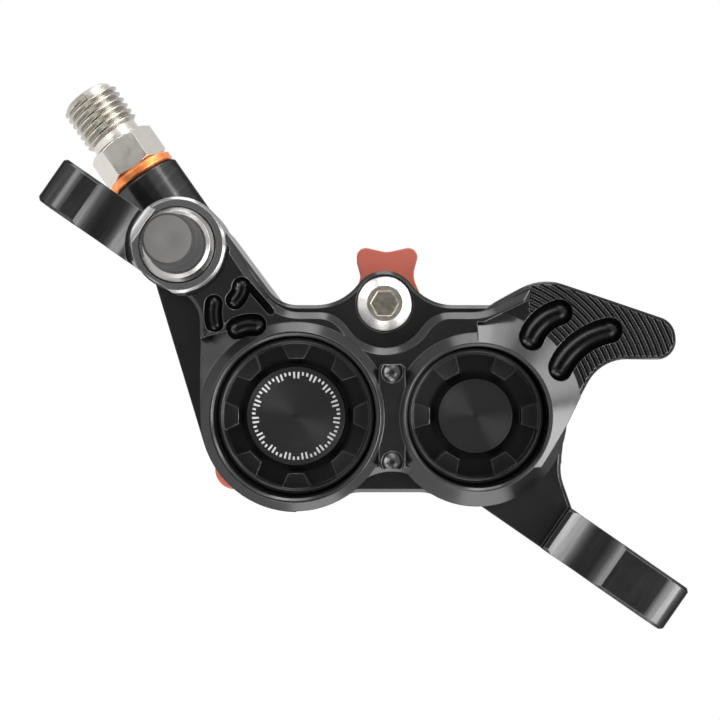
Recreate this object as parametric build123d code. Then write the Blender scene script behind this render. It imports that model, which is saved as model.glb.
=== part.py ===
from build123d import *

import os
from math import asin, atan2, cos, degrees, radians, sin

# Bicycle disc brake caliper: one machined body, four pistons, post mount.
# Two frames are used, both with +Y pointing inboard and y = 0 on the rotor's middle plane.
# Brake frame: x along the line of the bores, z away from the wheel hub. All is built in it.
# Mount frame: +X along the two ears, +Z along the mounting bolts. The finished pieces are turned into it.
# Both origins lie on the ears' seating plane, midway between the two bolt centres.

# Mounting ears
post_spacing = 74.2
post_plane_y = -15.25
left_ear_reach = 9.05
right_ear_reach = 9.6
ear_thickness = 6.05
ear_front_y = -21.2
ear_back_y = -8.6
ear_corner_radius = 3.7
ear_edge_chamfer = 0.35
ear_scoop_radius = 8.0
right_scoop_depth = 1.0
left_scoop_depth = 1.0
right_scoop_inset = 4.1
left_scoop_inset = 0.5
right_ear_root = 28.5
left_ear_root = 28.9
bolt_slot_width = 6.6
bolt_slot_travel = 1.8
mount_tilt = 34.7

# Bores, pistons and seals
bore_spacing = 22.0
large_bore_x = -6.3
bore_line_z = -0.33
large_piston_radius = 9.0
small_piston_radius = 8.0
piston_fit = 0.05
piston_length = 7.2
piston_front_y = 5.5
piston_wall = 2.4
piston_floor = 2.0
piston_chamfer = 0.8
chamber_gap = 0.5
bore_floor_wall = 2.0
fluid_seal_inset = 2.8
fluid_seal_width = 2.0
fluid_seal_depth = 1.5
dust_seal_inset = 0.6
dust_seal_width = 1.1
dust_seal_depth = 1.1
seal_fit = 0.02

# Body around the bores
ring_front_y = -22.0
large_mouth_step = 0.75
small_mouth_step = 0.5
mouth_chamfer = 0.3
large_ring_flat = 0.25
small_ring_flat = 0.15
large_rim_wall = 1.65
small_rim_wall = 2.4
cove_start_radius = 11.35
cove_start_y = -20.4
cove_end_radius = 12.9
cove_band = 1.15
cove_foot_x = 23.3
cove_foot_z = -6.4
arm_cove_end_radius = 14.8
arm_cove_end_y = -19.3
arm_cove_top_z = 11.0
arm_cove_lean = 1.2
arm_cove_right_x = -11.0
terrace_drop = 1.2
panel_drop = 0.45
panel_width = 3.1
panel_offset = 0.85
panel_half_height = 6.3
panel_corner_radius = 0.6
dimple_radius = 1.5
dimple_depth = 0.75
dimple_offset = 5.4
waist_step = 1.55
waist_fillet = 5.0
terrace_foot_depth = 9.25
terrace_arch_radius = 6.2
terrace_arch_rise = 2.6
terrace_top_z = 12.3
terrace_chamfer = 0.8
terrace_dip_radius = 5.5
terrace_shoulder_radius = 4.0
terrace_rise_start = 0.8
terrace_rise = 2.7
terrace_edge_z = 8.0
deck_front_y = -18.0
deck_top_z = 13.24
deck_back_y = 11.5
deck_chamfer = 0.4
deck_left_x = -8.3
deck_right_reach = 4.8
back_chamfer = 1.2

# Pad pin, its lug and its clip
pin_x = 4.55
pin_z = 13.44
pin_radius = 2.0
pin_fit = 0.05
pin_thread_radius = 2.45
pin_thread_length = 6.0
pin_head_radius = 3.4
pin_face_radius = 2.2
pin_head_height = 1.4
pin_head_flat = 0.75
pin_head_recess = 1.0
pin_socket_flats = 3.0
pin_socket_depth = 1.6
pin_head_fit = 0.12
pin_end_margin = 1.3
pin_end_chamfer = 0.4
lug_radius = 4.02
lug_fillet = 6.5
clip_thickness = 0.6
clip_groove_depth = 0.4
clip_band = 1.5
clip_fit = 0.04
clip_seat_gap = 0.15

# Rotor slot and pad pocket
rotor_radius = 90.0
rotor_edge_z = 8.0
rotor_clearance = 1.4
rotor_slot_width = 5.0
pocket_half_depth = 5.65
pocket_fit = 0.25
pocket_top_gap = 0.5
window_fit = 0.8
pillar_reach = 1.9
pillar_foot_z = -6.5
pillar_head_z = 8.6
pillar_half_depth = 12.0

# Brake pads
pad_left_x = -17.3
pad_right_x = 25.0
pad_bottom_z = -10.3
pad_top_z = 8.5
pad_shoulder_x = 19.0
pad_shoulder_z = 6.2
pad_corner_radius = 2.6
pad_plate_thickness = 1.8
pad_lining_thickness = 2.3
pad_lining_margin = 1.5
pad_gap = 1.3
pad_groove_width = 1.2
pad_groove_depth = 1.2
tab_offset = 0.5
tab_neck_half_width = 4.6
tab_throat_half_width = 3.3
tab_lobe_half_width = 4.45
tab_throat_z = 17.4
tab_lobe_z = 21.5
tab_dip = 1.0
tab_lobe_radius = 1.2
tab_throat_radius = 3.0
tab_hole_radius = 2.4

# Pad spring
spring_thickness = 0.4
spring_width = 7.0
spring_arch_radius = 2.4
spring_crown_rise = 1.4
spring_hole_radius = 2.35
spring_foot_z = 9.9
spring_leg_gap = 0.1

# Fin on the outboard side
fin_front_y = -19.4
fin_back_y = -12.6
fin_reach = 24.3
fin_chamfer = 0.45
fin_slot_radius = 1.6
fin_slot_sink = 0.35
ridge_first_radius = 13.6
ridge_last_radius = 25.9
ridge_pitch = 0.68
ridge_width = 0.32
ridge_depth = 0.16
ridge_edge_reach = 6.4

# Arm to the right ear
arm_front_y = -20.4
arm_chamfer = 0.4
arm_outer_x = 26.5
arm_outer_z = -1.3
arm_waist_x = 25.8
arm_waist_z = -7.3
arm_joint_x = 29.0
arm_rim_x = 25.0
arm_rim_z = -9.0
arm_side_radius = 6.0

# Arm to the bleed boss
bleed_x = -20.5
bleed_z = 20.4
bleed_boss_radius = 5.85
bleed_boss_front_y = -21.0
bleed_boss_back_radius = 5.45
bleed_boss_back_y = 12.0
bleed_boss_chamfer = 0.35
boss_groove_width = 0.45
boss_groove_depth = 0.6
left_arm_edge_x = -17.8
left_arm_overlap = 1.2
saddle_x = -8.56
saddle_radius = 5.2
web_saddle_radius = 4.5
web_head_radius = 5.5
arm_face_right_x = -4.6
web_front_y = -16.5
web_boss_radius = 4.3
web_bore_radius = 11.9
web_back_y = 12.0
arm_pocket_sink = 0.5
slot_pocket_radius = 1.1
upper_pocket_radius = 1.15
lower_pocket_radius = 1.35
slot_pocket_route = [(-16.1, 13.3), (-16.2, 12.1), (-16.05, 10.9)]  # X and Z of the bends of each pocket
upper_pocket_route = [(-13.55, 13.75), (-13.0, 14.5), (-12.75, 15.4)]
lower_pocket_route = [(-13.3, 10.35), (-12.3, 10.7), (-11.1, 10.75)]
groove_high_x = -12.2
groove_high_z = 15.8
groove_low_x = -8.96
groove_low_z = 12.07
groove_radius = 0.45
groove_depth = 3.2

# Bleed screw and its cap
bleed_recess_radius = 4.65
bleed_recess_depth = 1.3
bleed_collar_radius = 4.5
bleed_collar_rise = 1.2
bleed_collar_crown = 0.9
bleed_collar_gap = 0.6
bleed_thread_radius = 2.95
bleed_thread_fit = 0.05
bleed_thread_length = 7.0
bleed_seat_length = 1.6
bleed_hex_flats = 4.5
bleed_hex_height = 2.0
bleed_barb_radius = 1.9
bleed_barb_height = 5.0
bleed_bore_radius = 0.7
bleed_cap_radius = 3.33
bleed_cap_shoulder = 4.0
bleed_cap_nose_radius = 3.05
bleed_cap_height = 8.4
bleed_cap_edge = 0.35
bleed_cap_fit = 0.06

# Hose port, connector and washer
port_x = -27.6
port_z = 31.23
port_tilt = 125.0
port_boss_radius = 4.85
port_boss_length = 20.0
port_boss_chamfer = 0.35
port_thread_radius = 3.5
port_thread_depth = 7.5
port_fit = 0.05
washer_radius = 4.67
washer_thickness = 1.3
washer_fit = 0.08
washer_edge = 0.3
connector_flats = 8.0
connector_hex_length = 4.5
connector_thread_radius = 3.9
connector_thread_length = 7.6
connector_root_radius = 3.35
connector_root_length = 0.7
connector_tip_chamfer = 0.5
connector_bore_radius = 1.1
connector_cone_radius = 2.5
connector_cone_depth = 3.0

# Drilled fluid ways
gallery_radius = 1.25
gallery_back_y = 10.4
feed_radius = 1.0
feed_start_y = 9.0
link_radius = 0.9
plug_radius = 1.6
plug_length = 2.6
plug_fit = 0.02

# Bore caps
cap_recess = 4.4
cap_fit = 0.05
cap_dish_radius_share = 0.75
cap_dish_depth = 0.7
cap_trough_depth = 1.9
cap_crown_drop = 0.25
cap_rim = 0.85
cap_edge_chamfer = 0.25
large_crown_radius = 6.25
small_crown_radius = 4.75
cap_tooth_length_share = 0.7
large_tooth_width = 3.9
large_tooth_tip = 1.9
large_tooth_count = 8
small_tooth_width = 3.4
small_tooth_tip = 2.0
small_tooth_count = 6
cap_seal_section = 0.6
cap_seal_groove = 1.0

# One overrun serves every cut
overrun = 1.0

# Derived places
small_bore_x = large_bore_x + bore_spacing
ridge_edge_x = small_bore_x + ridge_edge_reach
large_mouth_radius = large_piston_radius + large_mouth_step
small_mouth_radius = small_piston_radius + small_mouth_step
large_housing_radius = large_mouth_radius + large_rim_wall
small_housing_radius = small_mouth_radius + small_rim_wall
waist_half_height = small_housing_radius - waist_step
piston_back_y = piston_front_y + piston_length
chamber_y = piston_back_y + chamber_gap
body_back_y = chamber_y + bore_floor_wall
terrace_front_y = ring_front_y + terrace_drop
fluid_groove_y = pocket_half_depth + fluid_seal_inset
dust_groove_y = pocket_half_depth + dust_seal_inset
cap_front_y = ring_front_y + cap_recess
tab_x = pin_x + tab_offset
washer_back = -washer_thickness / 2
port_inward = Vector(-cos(radians(port_tilt)), 0, -sin(radians(port_tilt)))


def slab(outline, y_front, y_back):
    """A plate whose outline is drawn as (x, z), between two depths."""
    return extrude(Plane.XZ.offset(-y_back) * outline, amount=y_back - y_front)


def disc(x, z, radius):
    """A round outline about a point of the brake frame."""
    return Pos(x, z) * Circle(radius)


def rod(x, z, radius, y_front, y_back):
    """A round bar along Y."""
    return slab(disc(x, z, radius), y_front, y_back)


def outline(points, radii):
    """A closed outline through points, each corner rounded to its radius."""
    return make_face(FilletPolyline(*points, radius=radii, close=True))


def turned(profile, x, z):
    """A turned solid about an axis along Y: the profile is a list of (radius, y)."""
    face = make_face(Polyline(*profile, close=True))
    return Pos(x, 0, z) * revolve(face, Axis.Y)


def front_edges(solid):
    """The edges round a plate's outboard face."""
    return solid.faces().sort_by(Axis.Y)[0].outer_wire().edges()


def back_edges(solid):
    """The edges round a plate's inboard face."""
    return solid.faces().sort_by(Axis.Y)[-1].outer_wire().edges()


def from_mount(x, z):
    """A point given in the mount frame, in the brake frame."""
    tilt = radians(mount_tilt)
    return (x * cos(tilt) + z * sin(tilt), z * cos(tilt) - x * sin(tilt))


def to_mount(solid):
    """A finished solid, turned from the brake frame into the mount frame."""
    return solid.rotate(Axis.Y, -mount_tilt)


def along(start, direction, radius, length):
    """A round bar from a point along any direction."""
    return extrude(Plane(origin=start, z_dir=direction) * Circle(radius), amount=length)


def between(start, end, radius):
    """A round bar from one point to another."""
    run = Vector(*end) - Vector(*start)
    return along(Vector(*start), run, radius, run.length)


def tangent_point(start, middle, radius):
    """Where the tangent from a point touches a circle, on the circle's upper right side."""
    run = Vector(middle[0] - start[0], middle[1] - start[1])
    lean = atan2(run.Y, run.X) - asin(radius / run.length)
    reach = (run.length**2 - radius**2) ** 0.5
    return (start[0] + reach * cos(lean), start[1] + reach * sin(lean))


def corner_fillet(sketch, near, radius):
    """Rounds the outline's corner that lies nearest to a point."""
    corner = sketch.vertices().sort_by_distance(Vector(*near, 0))[0]
    return fillet(corner, radius)


def housing(x, flat_radius, outer_radius):
    """The round housing of one pair of bores, with its sloped outboard edge."""
    slope = outer_radius - flat_radius
    profile = [
        (0, ring_front_y),
        (flat_radius, ring_front_y),
        (outer_radius, ring_front_y + slope),
        (outer_radius, body_back_y - back_chamfer),
        (outer_radius - back_chamfer, body_back_y),
        (0, body_back_y),
    ]
    return turned(profile, x, bore_line_z)


def housings():
    """Both housings, the cove round the small one and the waist between them."""
    large_flat = large_mouth_radius + mouth_chamfer + large_ring_flat
    small_flat = small_mouth_radius + mouth_chamfer + small_ring_flat
    solid = housing(large_bore_x, large_flat, large_housing_radius)
    solid += housing(small_bore_x, small_flat, small_housing_radius)
    waist = Rectangle(bore_spacing, 2 * waist_half_height)
    waist = Pos((large_bore_x + small_bore_x) / 2, bore_line_z) * waist
    waist += disc(large_bore_x, bore_line_z, large_housing_radius)
    waist += disc(small_bore_x, bore_line_z, small_housing_radius)
    foot_z = bore_line_z - waist_half_height
    for x in (large_bore_x + waist_half_height / 2, small_bore_x - waist_half_height / 2):
        waist = corner_fillet(waist, (x, foot_z), waist_fillet)
    waist_block = slab(waist, deck_front_y, body_back_y - back_chamfer)
    solid += chamfer(front_edges(waist_block), deck_chamfer)
    return solid


def terrace():
    """The raised land between the bores, its dip round the pin and its panel."""
    foot_z = bore_line_z - terrace_foot_depth
    arch_z = foot_z + terrace_arch_rise - terrace_arch_radius
    middle_x = pin_x + panel_offset
    points = [
        (large_bore_x, bore_line_z),
        (large_bore_x, terrace_top_z),
        (small_bore_x + terrace_rise_start, terrace_top_z),
        (ridge_edge_x, terrace_top_z + terrace_rise),
        (ridge_edge_x, bore_line_z + small_housing_radius / 2),
        (small_bore_x, bore_line_z),
        (small_bore_x, foot_z),
        (large_bore_x, foot_z),
    ]
    radii = [0, 0, terrace_dip_radius, 0, 0, 0, 0, 0]
    land = outline(points, radii) - disc(pin_x, pin_z, terrace_dip_radius)
    for side in (-terrace_dip_radius, terrace_dip_radius):
        land = corner_fillet(land, (pin_x + side, terrace_top_z), terrace_shoulder_radius)
    land -= disc(middle_x, arch_z, terrace_arch_radius)
    solid = slab(land, terrace_front_y, deck_front_y + overrun)
    top = front_edges(solid).filter_by(lambda edge: edge.center().Z > terrace_edge_z)
    arch = front_edges(solid).filter_by(GeomType.CIRCLE)
    top += arch.filter_by(lambda edge: edge.center().Z < bore_line_z)
    solid = chamfer(top, terrace_chamfer)
    panel = RectangleRounded(panel_width, 2 * panel_half_height, panel_corner_radius)
    panel_y = ring_front_y + panel_drop
    solid += slab(Pos(middle_x, bore_line_z) * panel, panel_y, deck_front_y)
    for side in (-dimple_offset, dimple_offset):
        ball_y = panel_y + dimple_depth - dimple_radius
        solid -= Pos(middle_x, ball_y, bore_line_z + side) * Sphere(dimple_radius)
    return solid


def bridge():
    """The deck over the rotor, with the lug that carries the pad pin."""
    right_x = small_bore_x + deck_right_reach
    deck = Polygon(
        (deck_left_x, bore_line_z),
        (right_x, bore_line_z),
        (right_x, deck_top_z),
        (deck_left_x, deck_top_z),
        align=None,
    )
    deck += disc(pin_x, pin_z, lug_radius)
    for side in (-lug_radius, lug_radius):
        deck = corner_fillet(deck, (pin_x + side, deck_top_z), lug_fillet)
    solid = slab(deck, deck_front_y, deck_back_y)
    solid = chamfer(front_edges(solid), deck_chamfer)
    return solid


def cone_cut(x, profile):
    """Clears everything in front of a sloped ring round a bore, given by its (radius, y) points."""
    inner, outer = profile[0][0], profile[-1][0]
    front = ring_front_y - overrun
    return turned([(inner, front)] + profile + [(outer, front)], x, bore_line_z)


def small_cove():
    """The sloped ring right of the small bore, as points (radius, y)."""
    flat = small_mouth_radius + mouth_chamfer + small_ring_flat
    return [(flat, ring_front_y), (cove_start_radius, cove_start_y), (cove_end_radius, fin_front_y)]


def cove_sector():
    """Where the small bore's cove lies: right of its axis, under the terrace's sloped band."""
    far_x = small_bore_x + 2 * fin_reach
    lean = (arm_outer_x - cove_foot_x) / (arm_outer_z - cove_foot_z)
    points = [
        (small_bore_x, cove_foot_z),
        (cove_foot_x, cove_foot_z),
        (cove_foot_x + fin_reach * lean, cove_foot_z + fin_reach),
        (far_x, cove_foot_z + fin_reach),
        (far_x, 2 * fin_reach),
        (ridge_edge_x, 2 * fin_reach),
        (ridge_edge_x, terrace_top_z + terrace_rise - cove_band),
        (small_bore_x + terrace_rise_start, terrace_top_z - cove_band),
        (small_bore_x, terrace_top_z - cove_band),
    ]
    return Polygon(*points, align=None)


def cove_fill():
    """The body under the small bore's cove."""
    profile = [(0, ring_front_y)] + small_cove() + [(cove_end_radius, fin_back_y), (0, fin_back_y)]
    block = turned(profile, small_bore_x, bore_line_z)
    plan = cove_sector() & (fin_outline() + right_arm_outline())
    return block & slab(plan, ring_front_y, fin_back_y)


def coves():
    """What is cut away over the two sloped rings."""
    span = 2 * fin_reach
    front = ring_front_y - 2 * overrun
    level = [(fin_reach, fin_front_y)]
    cut = cone_cut(small_bore_x, small_cove() + level) & slab(cove_sector(), front, fin_back_y)
    flat = large_mouth_radius + mouth_chamfer + large_ring_flat
    slope_y = ring_front_y + large_housing_radius - flat
    ramp = [(large_housing_radius, slope_y), (arm_cove_end_radius, arm_cove_end_y)]
    top = [(y, arm_cove_top_z + (terrace_front_y - y) * arm_cove_lean) for y in (fin_back_y, front)]
    side = Polygon((front, -span), (fin_back_y, -span), *top, align=None)
    left = extrude(Plane.YZ.offset(-span) * side, amount=span + arm_cove_right_x)
    return cut + (cone_cut(large_bore_x, ramp) & left)


def fin_outline():
    """The fin's outline: points and corner radii as shares of its reach."""
    shares = [
        (-0.10, 0.30, 0.0),
        (0.045, 0.545, 0.30),
        (0.325, 0.698, 0.26),
        (0.990, 0.472, 0.105),
        (1.006, 0.283, 0.095),
        (0.622, 0.287, 0.22),
        (0.4445, -0.040, 0.0),
        (0.10, -0.10, 0.0),
    ]
    points = [(small_bore_x + fin_reach * x, bore_line_z + fin_reach * z) for x, z, _ in shares]
    return outline(points, [fin_reach * radius for _, _, radius in shares])


def boss_cut():
    """What is cleared over the bleed boss's face, and the groove round it."""
    front = ring_front_y - overrun
    outer = bleed_boss_radius + boss_groove_width
    floor_y = bleed_boss_front_y + boss_groove_depth
    profile = [
        (0, front),
        (outer, front),
        (outer, floor_y),
        (bleed_boss_radius, floor_y),
        (bleed_boss_radius, bleed_boss_front_y + bleed_boss_chamfer),
        (bleed_boss_radius - bleed_boss_chamfer, bleed_boss_front_y),
        (0, bleed_boss_front_y),
    ]
    return turned(profile, bleed_x, bleed_z)


def ball_slot(route, radius, depth_y):
    """A ball-ended slot along the arc through three points (x, z), with its ball's middle at a depth."""
    height = depth_y - ring_front_y + overrun
    points = [Vector(x, depth_y, z) for x, z in route]
    path = ThreePointArc(*points)
    wall = Rectangle(height, 2 * radius, align=(Align.MIN, Align.CENTER))
    nose = Plane(origin=points[0], x_dir=(0, -1, 0), z_dir=path % 0)
    cut = sweep(nose * (wall + Circle(radius)), path)
    for end in (points[0], points[-1]):
        cut += Pos(*end) * Sphere(radius)
        cut += rod(end.X, end.Z, radius, depth_y - height, depth_y)
    return cut


def fin_slots():
    """Two curved slots: each is a start, a middle and an end, as shares of the fin's reach."""
    routes = [
        [(0.272, 0.395), (0.325, 0.470), (0.415, 0.520)],
        [(0.415, 0.243), (0.505, 0.355), (0.665, 0.430)],
    ]
    cut = Part()
    for route in routes:
        points = [(small_bore_x + fin_reach * x, bore_line_z + fin_reach * z) for x, z in route]
        cut += ball_slot(points, fin_slot_radius, fin_front_y + fin_slot_sink)
    return cut


def fin():
    """The cooling fin with its slots and fine ridges, which run round the small bore."""
    solid = slab(fin_outline(), fin_front_y, fin_back_y)
    solid = chamfer(front_edges(solid), fin_chamfer)
    solid = chamfer(back_edges(solid), fin_chamfer)
    count = int((ridge_last_radius - ridge_first_radius) / ridge_pitch)
    rings = Sketch()
    for index in range(count):
        inner = ridge_first_radius + index * ridge_pitch
        ring = disc(small_bore_x, bore_line_z, inner + ridge_width)
        rings += ring - disc(small_bore_x, bore_line_z, inner)
    keep = Pos(ridge_edge_x + fin_reach / 2, bore_line_z) * Rectangle(fin_reach, 2 * fin_reach)
    return solid - slab(rings & keep, fin_front_y - overrun, fin_front_y + ridge_depth)


def right_arm_outline():
    """The outline of the arm to the right ear."""
    points = [
        (small_bore_x, bore_line_z),
        (small_bore_x + terrace_shoulder_radius, small_housing_radius / 2),
        (arm_outer_x, small_housing_radius / 2),
        (arm_outer_x, arm_outer_z),
        (arm_waist_x, arm_waist_z),
        from_mount(arm_joint_x, ear_thickness),
        from_mount(arm_joint_x, 0),
        from_mount(small_bore_x, 0),
    ]
    radii = [0, 0, 0, arm_side_radius, arm_side_radius, 0, 0, 0]
    return outline(points, radii)


def right_arm():
    """The arm from the small bore's housing down to the right ear, raised below the cove."""
    span = 2 * fin_reach
    low = Polygon(
        (cove_foot_x, cove_foot_z),
        (arm_outer_x, arm_outer_z),
        (span, arm_outer_z),
        (span, -span),
        (-span, -span),
        (-span, cove_foot_z),
        align=None,
    )
    levels = []
    for front in (fin_front_y, arm_front_y):
        level = slab(right_arm_outline(), front, ear_back_y)
        rims = front_edges(level).filter_by(
            lambda edge: edge.center().X > arm_rim_x and edge.center().Z > arm_rim_z
        )
        levels.append(chamfer(rims, arm_chamfer))
    return levels[0] + (levels[1] & slab(low, arm_front_y, ear_back_y))


def left_arm():
    """The arm up to the bleed boss: a raised face, the deck's level beside it and a deep web."""
    boss = (bleed_x, bleed_z)
    saddle = (saddle_x, terrace_top_z)
    head = tangent_point(saddle, boss, bleed_boss_back_radius)
    start = (large_bore_x - left_arm_overlap, bore_line_z)
    finish = (bleed_x - left_arm_overlap, bleed_z)
    points = [start, finish, head, saddle, (arm_face_right_x, terrace_top_z)]
    points += [(arm_face_right_x, bore_line_z)]
    face = slab(outline(points, [0, 0, 0, saddle_radius, 0, 0]), terrace_front_y, ear_back_y)
    sloped = front_edges(face).filter_by(
        lambda edge: edge.center().X > bleed_x / 2 + saddle_x / 2 and edge.center().Z > terrace_edge_z
    )
    solid = chamfer(sloped.filter_by(lambda edge: edge.center().X < arm_face_right_x), terrace_chamfer)
    step = left_arm_edge_x - bleed_x
    points = [(left_arm_edge_x, bore_line_z), start, (left_arm_edge_x + step, bleed_z)]
    points += [(left_arm_edge_x, bleed_z)]
    side = Polygon(*points, align=None)
    side += disc(bleed_x, bleed_z, bleed_boss_back_radius)
    foot_z = bleed_z - (bleed_boss_back_radius**2 - step**2) ** 0.5
    side = corner_fillet(side, (left_arm_edge_x, foot_z), terrace_shoulder_radius)
    side = slab(side, terrace_front_y, ear_back_y)
    solid += chamfer(front_edges(side), arm_chamfer)
    corner = (deck_left_x, deck_top_z)
    points = [(large_bore_x, bore_line_z), boss, tangent_point(corner, boss, web_head_radius), corner]
    points += [(arm_face_right_x, deck_top_z)]
    level = slab(outline(points, [0, 0, 0, web_saddle_radius, 0]), deck_front_y, web_back_y)
    sloped = front_edges(level).filter_by(
        lambda edge: edge.center().X > bleed_x / 2 + saddle_x / 2 and edge.center().Z > terrace_top_z
    )
    solid += chamfer(sloped, deck_chamfer)
    return solid + left_web() + bleed_boss()


def left_web():
    """The deep web on the left of the line from the bleed boss to the large bore."""
    boss = disc(bleed_x, bleed_z, web_boss_radius)
    web = make_hull((boss + disc(large_bore_x, bore_line_z, web_bore_radius)).edges())
    far = 2 * bleed_x
    keep = Polygon(
        (bleed_x, 2 * bleed_z),
        (bleed_x, bleed_z),
        (large_bore_x, bore_line_z),
        (large_bore_x, bore_line_z - 2 * web_bore_radius),
        (far, bore_line_z - 2 * web_bore_radius),
        (far, 2 * bleed_z),
        align=None,
    )
    return slab(web & keep, web_front_y, web_back_y)


def bleed_boss():
    """The round boss of the bleed screw, right through both halves."""
    profile = [
        (0, bleed_boss_front_y),
        (bleed_boss_radius - bleed_boss_chamfer, bleed_boss_front_y),
        (bleed_boss_radius, bleed_boss_front_y + bleed_boss_chamfer),
        (bleed_boss_radius, ear_back_y),
        (bleed_boss_back_radius, ear_back_y + bleed_boss_radius - bleed_boss_back_radius),
        (bleed_boss_back_radius, bleed_boss_back_y - bleed_boss_chamfer),
        (bleed_boss_back_radius - bleed_boss_chamfer, bleed_boss_back_y),
        (0, bleed_boss_back_y),
    ]
    span = 2 * bleed_boss_radius
    below = Box(2 * post_spacing, 2 * span, span, align=(Align.CENTER, Align.MAX, Align.MAX))
    below = Pos(0, ear_back_y, 0) * below
    return turned(profile, bleed_x, bleed_z) - below.rotate(Axis.Y, mount_tilt)


def arm_pockets():
    """Three ball-milled pockets in the left arm's face, and a slanted groove beside them."""
    depth_y = terrace_front_y + arm_pocket_sink
    cut = Part()
    for radius, route in (
        (slot_pocket_radius, slot_pocket_route),
        (upper_pocket_radius, upper_pocket_route),
        (lower_pocket_radius, lower_pocket_route),
    ):
        cut += ball_slot(route, radius, depth_y)
    start = Vector(groove_high_x, groove_high_z)
    run = Vector(groove_low_x, groove_low_z) - start
    middle = start + run * (1 / 2)
    place = Pos(middle.X, middle.Y) * Rot(0, 0, degrees(atan2(run.Y, run.X)))
    plan = place * SlotCenterToCenter(run.length - 2 * groove_radius, 2 * groove_radius)
    return cut + slab(plan, ring_front_y - overrun, terrace_front_y + groove_depth)


def port_plane(distance):
    """A plane square to the hose port's axis, at a distance outward from the washer's middle."""
    place = Vector(port_x, 0, port_z) - port_inward * distance
    return Plane(origin=place, x_dir=(0, 1, 0), z_dir=-port_inward)


def port_boss():
    """The boss that takes the hose connector."""
    solid = extrude(port_plane(washer_back) * Circle(port_boss_radius), amount=-port_boss_length)
    rim = solid.edges().filter_by(GeomType.CIRCLE).sort_by(Axis.Z)[-1]
    return chamfer(rim, port_boss_chamfer)


def ear(side, root_x, reach):
    """One mounting ear, drawn in the mount frame: side is 1 for the right ear and -1 for the left."""
    end_x = post_spacing / 2 + reach
    points = [
        (root_x, ear_front_y),
        (end_x, ear_front_y),
        (end_x, ear_back_y),
        (root_x, ear_back_y),
    ]
    radii = [0, ear_corner_radius, ear_corner_radius, 0]
    plan = outline([(side * x, y) for x, y in points], radii)
    solid = extrude(plan, amount=ear_thickness)
    levels = solid.faces().sort_by(Axis.Z)
    rims = levels[0].outer_wire().edges() + levels[-1].outer_wire().edges()
    root = Plane.YZ.offset(side * root_x)
    rims = rims.filter_by(lambda edge: abs(root.to_local_coords(edge.center()).Z) > ear_edge_chamfer)
    return chamfer(rims, ear_edge_chamfer).rotate(Axis.Y, mount_tilt)


def ear_cut(side, scoop_inset, scoop_depth):
    """The bolt slot and the milled scoop of one ear."""
    middle = post_spacing / 2
    slot = Rot(0, 0, 90) * SlotCenterToCenter(bolt_slot_travel, bolt_slot_width)
    scoop_y = ear_front_y - ear_scoop_radius + scoop_depth
    plan = Pos(side * middle, post_plane_y) * slot
    plan += Pos(side * (middle - scoop_inset), scoop_y) * Circle(ear_scoop_radius)
    cut = Pos(0, 0, -overrun) * extrude(plan, amount=ear_thickness + 2 * overrun)
    return cut.rotate(Axis.Y, mount_tilt)


def bore_cut(x, piston_radius, mouth_radius):
    """One pair of opposed bores with their seal grooves, and the threaded mouth of the outboard one."""
    bore_radius = piston_radius + piston_fit
    cut = rod(x, bore_line_z, bore_radius, -chamber_y, chamber_y)
    profile = [
        (0, ring_front_y - overrun),
        (mouth_radius + mouth_chamfer + overrun, ring_front_y - overrun),
        (mouth_radius, ring_front_y + mouth_chamfer),
        (mouth_radius, -chamber_y),
        (0, -chamber_y),
    ]
    cut += turned(profile, x, bore_line_z)
    for low, width, depth in (
        (fluid_groove_y, fluid_seal_width, fluid_seal_depth),
        (dust_groove_y, dust_seal_width, dust_seal_depth),
    ):
        cut += rod(x, bore_line_z, bore_radius + depth, low, low + width)
        cut += rod(x, bore_line_z, bore_radius + depth, -low - width, -low)
    return cut


def pad_space():
    """The pocket for the pads, the slot for the rotor and the window for the pads' tabs."""
    left_x = pad_left_x - pocket_fit
    right_x = pad_right_x + pocket_fit
    top_z = pad_top_z + pocket_top_gap
    foot_z = bore_line_z - large_housing_radius - overrun
    pocket = Polygon(
        (left_x, foot_z), (right_x, foot_z), (right_x, top_z), (left_x, top_z), align=None
    )
    cut = slab(pocket, -pocket_half_depth, pocket_half_depth)
    half_window = tab_neck_half_width + window_fit
    window = Polygon(
        (tab_x - half_window, bore_line_z),
        (tab_x + half_window, bore_line_z),
        (tab_x + half_window, tab_lobe_z),
        (tab_x - half_window, tab_lobe_z),
        align=None,
    )
    cut += slab(window, -pocket_half_depth, pocket_half_depth)
    slot_radius = rotor_radius + rotor_clearance
    rotor = disc(pin_x, rotor_edge_z - rotor_radius, slot_radius)
    cut += slab(rotor, -rotor_slot_width / 2, rotor_slot_width / 2)
    return cut


def pillar():
    """The wall at the right end of the pads."""
    left_x = pad_right_x - overrun
    right_x = pad_right_x + pillar_reach
    block = Polygon(
        (left_x, pillar_foot_z),
        (right_x, pillar_foot_z),
        (right_x, bore_line_z),
        (left_x, pillar_head_z),
        align=None,
    )
    return slab(block, -pillar_half_depth, pillar_half_depth)


def pin_cut():
    """The pin's threaded hole, its plain hole in the far lug and the recess for its head."""
    plain_radius = pin_radius + pin_fit
    thread_radius = pin_thread_radius + pin_fit
    cut = rod(pin_x, pin_z, thread_radius, deck_front_y, -pocket_half_depth)
    cut += rod(pin_x, pin_z, plain_radius, 0, deck_back_y + overrun)
    recess = pin_head_radius + pin_head_fit
    cut += rod(pin_x, pin_z, recess, ring_front_y - overrun, deck_front_y + pin_head_recess)
    return cut


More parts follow.
